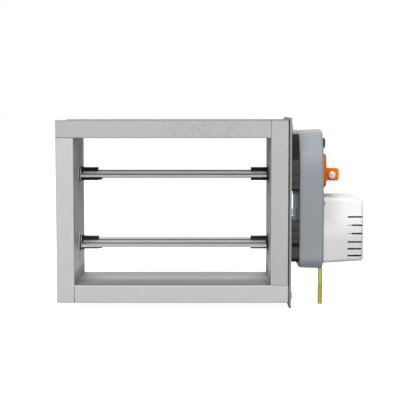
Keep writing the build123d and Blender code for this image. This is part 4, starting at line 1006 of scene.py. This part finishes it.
def blade_stations(prefix, low_x, high_x):
    """X along the blade, with the heights of its top and under ribs there."""
    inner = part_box(f"{prefix}_idle_adapter")[1].x
    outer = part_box(f"{prefix}_drive_adapter")[0].x
    return (
        (low_x, 0.0, 0.0),
        (inner - (TONGUE_REACH - RIB_START) * MM, 0.0, 0.0),
        (inner - (TONGUE_REACH - RIB_FULL) * MM, RIB_HEIGHT, 0.0),
        (inner + RIB_START * MM, RIB_HEIGHT, 0.0),
        (inner + RIB_FULL * MM, RIB_HEIGHT, RIB_HEIGHT),
        (outer - RIB_FULL * MM, RIB_HEIGHT, RIB_HEIGHT),
        (outer - RIB_START * MM, 0.0, 0.0),
        (high_x, 0.0, 0.0),
    )


def make_blade(prefix, finish):
    """Extruded blade with a central rib between the jaws and fine grooves beside it."""
    node = f"{prefix}_blade"
    low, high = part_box(node)
    middle_z = (low.z + high.z) / 2
    shape = bmesh.new()
    rows = []
    for x, top_rib, under_rib in blade_stations(prefix, low.x, high.x):
        rows.append([
            [shape.verts.new((x, across * MM, middle_z + height * MM)) for across, height in loop]
            for loop in blade_loops(top_rib, under_rib)
        ])
    for near, far in zip(rows, rows[1:]):
        for near_loop, far_loop in zip(near, far):
            count = len(near_loop)
            for spot in range(count):
                after = (spot + 1) % count
                corners = (near_loop[spot], near_loop[after], far_loop[after], far_loop[spot])
                shape.faces.new(corners)
    for row in (rows[0], rows[-1]):
        verts = [vert for loop in row for vert in loop]
        for corners in tessellate_polygon([[vert.co for vert in loop] for loop in row]):
            shape.faces.new([verts[corner] for corner in corners])
    mesh = bpy.data.meshes.new(f"{node}_extrusion")
    close_mesh(shape, mesh, sharp_degrees=20)
    mesh.materials.append(finish)
    blade = add_object(f"{node}_extrusion", mesh)
    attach(blade, f"{prefix}_blade_set")
    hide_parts(node)


make_blade("upper", finishes["blade_aluminium"])
make_blade("lower", blade_extrusion("lower_extrusion", LOWER_SHADE_BANDS, rim_shade=0.4))


# Leads

LEAD_SWAY = (0.0, 0.0, 0.08, 0.18, 0.12, 0.0, 0.0)
# The leads that are seen are this much thicker than the model's.
LEAD_SWELL = 1.3


def lead_points(x, y, low, high):
    """A lead's route: straight down from the casing, with a slight sway."""
    last = len(LEAD_SWAY) - 1
    return [
        (x + sway * MM, y, high + (low - high) * step / last)
        for step, sway in enumerate(LEAD_SWAY)
    ]


def cord_curve(name, points, radius):
    """Smooth cord on a NURBS line."""
    curve = bpy.data.curves.new(name, "CURVE")
    curve.dimensions = "3D"
    curve.bevel_depth = radius
    curve.bevel_resolution = 5
    curve.resolution_u = 8
    curve.use_fill_caps = True
    spline = curve.splines.new("NURBS")
    spline.points.add(len(points) - 1)
    for held, point in zip(spline.points, points):
        held.co = (*point, 1.0)
    spline.order_u = 3
    spline.use_endpoint_u = True
    return add_object(name, curve)


def make_leads():
    """Two short leads that hang from the casing's floor."""
    for name in ("rear_lead", "front_lead"):
        low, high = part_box(name)
        x = (low.x + high.x) / 2
        y = (low.y + high.y) / 2
        points = lead_points(x, y, low.z, high.z)
        thickness = (high.x - low.x) * LEAD_SWELL
        cord = cord_curve(f"{name}_cord", points, thickness / 2)
        cord.data.materials.append(finishes["lead_yellow_green"])
        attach(cord, "frame")
        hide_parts(name)


make_leads()


# Studio

WHITE = grey(1.0)
SKY = tint(0.93, 0.97, 1.0)
SKY_POWER = 0.13
FLOOR_HALF = 30.0
FLOOR_GAP = 0.4 * MM
FLOOR_GREY = grey(0.45)
FLOOR_GLOW = 0.94
LAMP_AIM = (0.04, 0.0, 0.0)
# Name, place in metres, width in metres, power in watts
LAMPS = (
    ("overhead", (0.1, -0.2, 1.9), 1.4, 10.5),
    ("front_left", (-0.7, -1.6, 1.1), 0.8, 21.0),
    ("front_right", (0.6, -1.6, 1.1), 0.8, 15.5),
    ("back_left", (-0.6, 1.6, 1.5), 0.8, 9.5),
    ("back_right", (0.7, 1.6, 1.5), 0.8, 9.5),
)


def choose(s, plain, seen):
    """Plain shader for lighting, and the seen one for rays that show the surroundings."""
    path = s.node("ShaderNodeLightPath", {}, {})
    shows = Value(s, path.outputs["Is Camera Ray"])
    for name in ("Is Glossy Ray", "Is Transmission Ray"):
        shows = shows.larger(path.outputs[name])
    inputs = {0: shows, 1: plain.outputs[0], 2: seen.outputs[0]}
    return s.node("ShaderNodeMixShader", {}, inputs).outputs[0]


def make_world():
    """Soft even light, and white behind the object."""
    world = bpy.data.worlds.new("studio")
    world.use_nodes = True
    s = Workshop(world.node_tree)
    soft = s.node("ShaderNodeBackground", {}, {0: SKY, 1: SKY_POWER})
    white = s.node("ShaderNodeBackground", {}, {0: WHITE, 1: 1.0})
    s.node("ShaderNodeOutputWorld", {}, {0: choose(s, soft, white)})
    bpy.context.scene.world = world


def make_floor():
    """Plain white floor just under the lowest point, which keeps a soft shadow."""
    height = cad_low.z - FLOOR_GAP
    signs = ((-1, -1), (1, -1), (1, 1), (-1, 1))
    mesh = bpy.data.meshes.new("floor")
    corners = [(FLOOR_HALF * right, FLOOR_HALF * back, height) for right, back in signs]
    mesh.from_pydata(corners, [], [(0, 1, 2, 3)])
    material = bpy.data.materials.new("floor_paint")
    material.use_nodes = True
    s = Workshop(material.node_tree)
    paint = s.node("ShaderNodeBsdfDiffuse", {}, {0: FLOOR_GREY})
    glow = s.node("ShaderNodeEmission", {}, {1: FLOOR_GLOW})
    both = s.node("ShaderNodeAddShader", {}, {0: paint.outputs[0], 1: glow.outputs[0]})
    s.node("ShaderNodeOutputMaterial", {}, {0: choose(s, paint, both)})
    mesh.materials.append(material)
    add_object("floor", mesh)


def make_lamp(name, place, size, power):
    """Square soft lamp that faces the object."""
    data = bpy.data.lights.new(name, "AREA")
    data.shape = "SQUARE"
    data.size = size
    data.energy = power
    lamp = add_object(name, data)
    lamp.location = place
    aim = Vector(LAMP_AIM) - Vector(place)
    lamp.rotation_euler = aim.to_track_quat("-Z", "Y").to_euler()


def make_studio():
    """White surroundings, a floor, and large soft lamps all round."""
    make_world()
    make_floor()
    for lamp in LAMPS:
        make_lamp(*lamp)
    bpy.context.scene.view_settings.view_transform = "Standard"


make_studio()
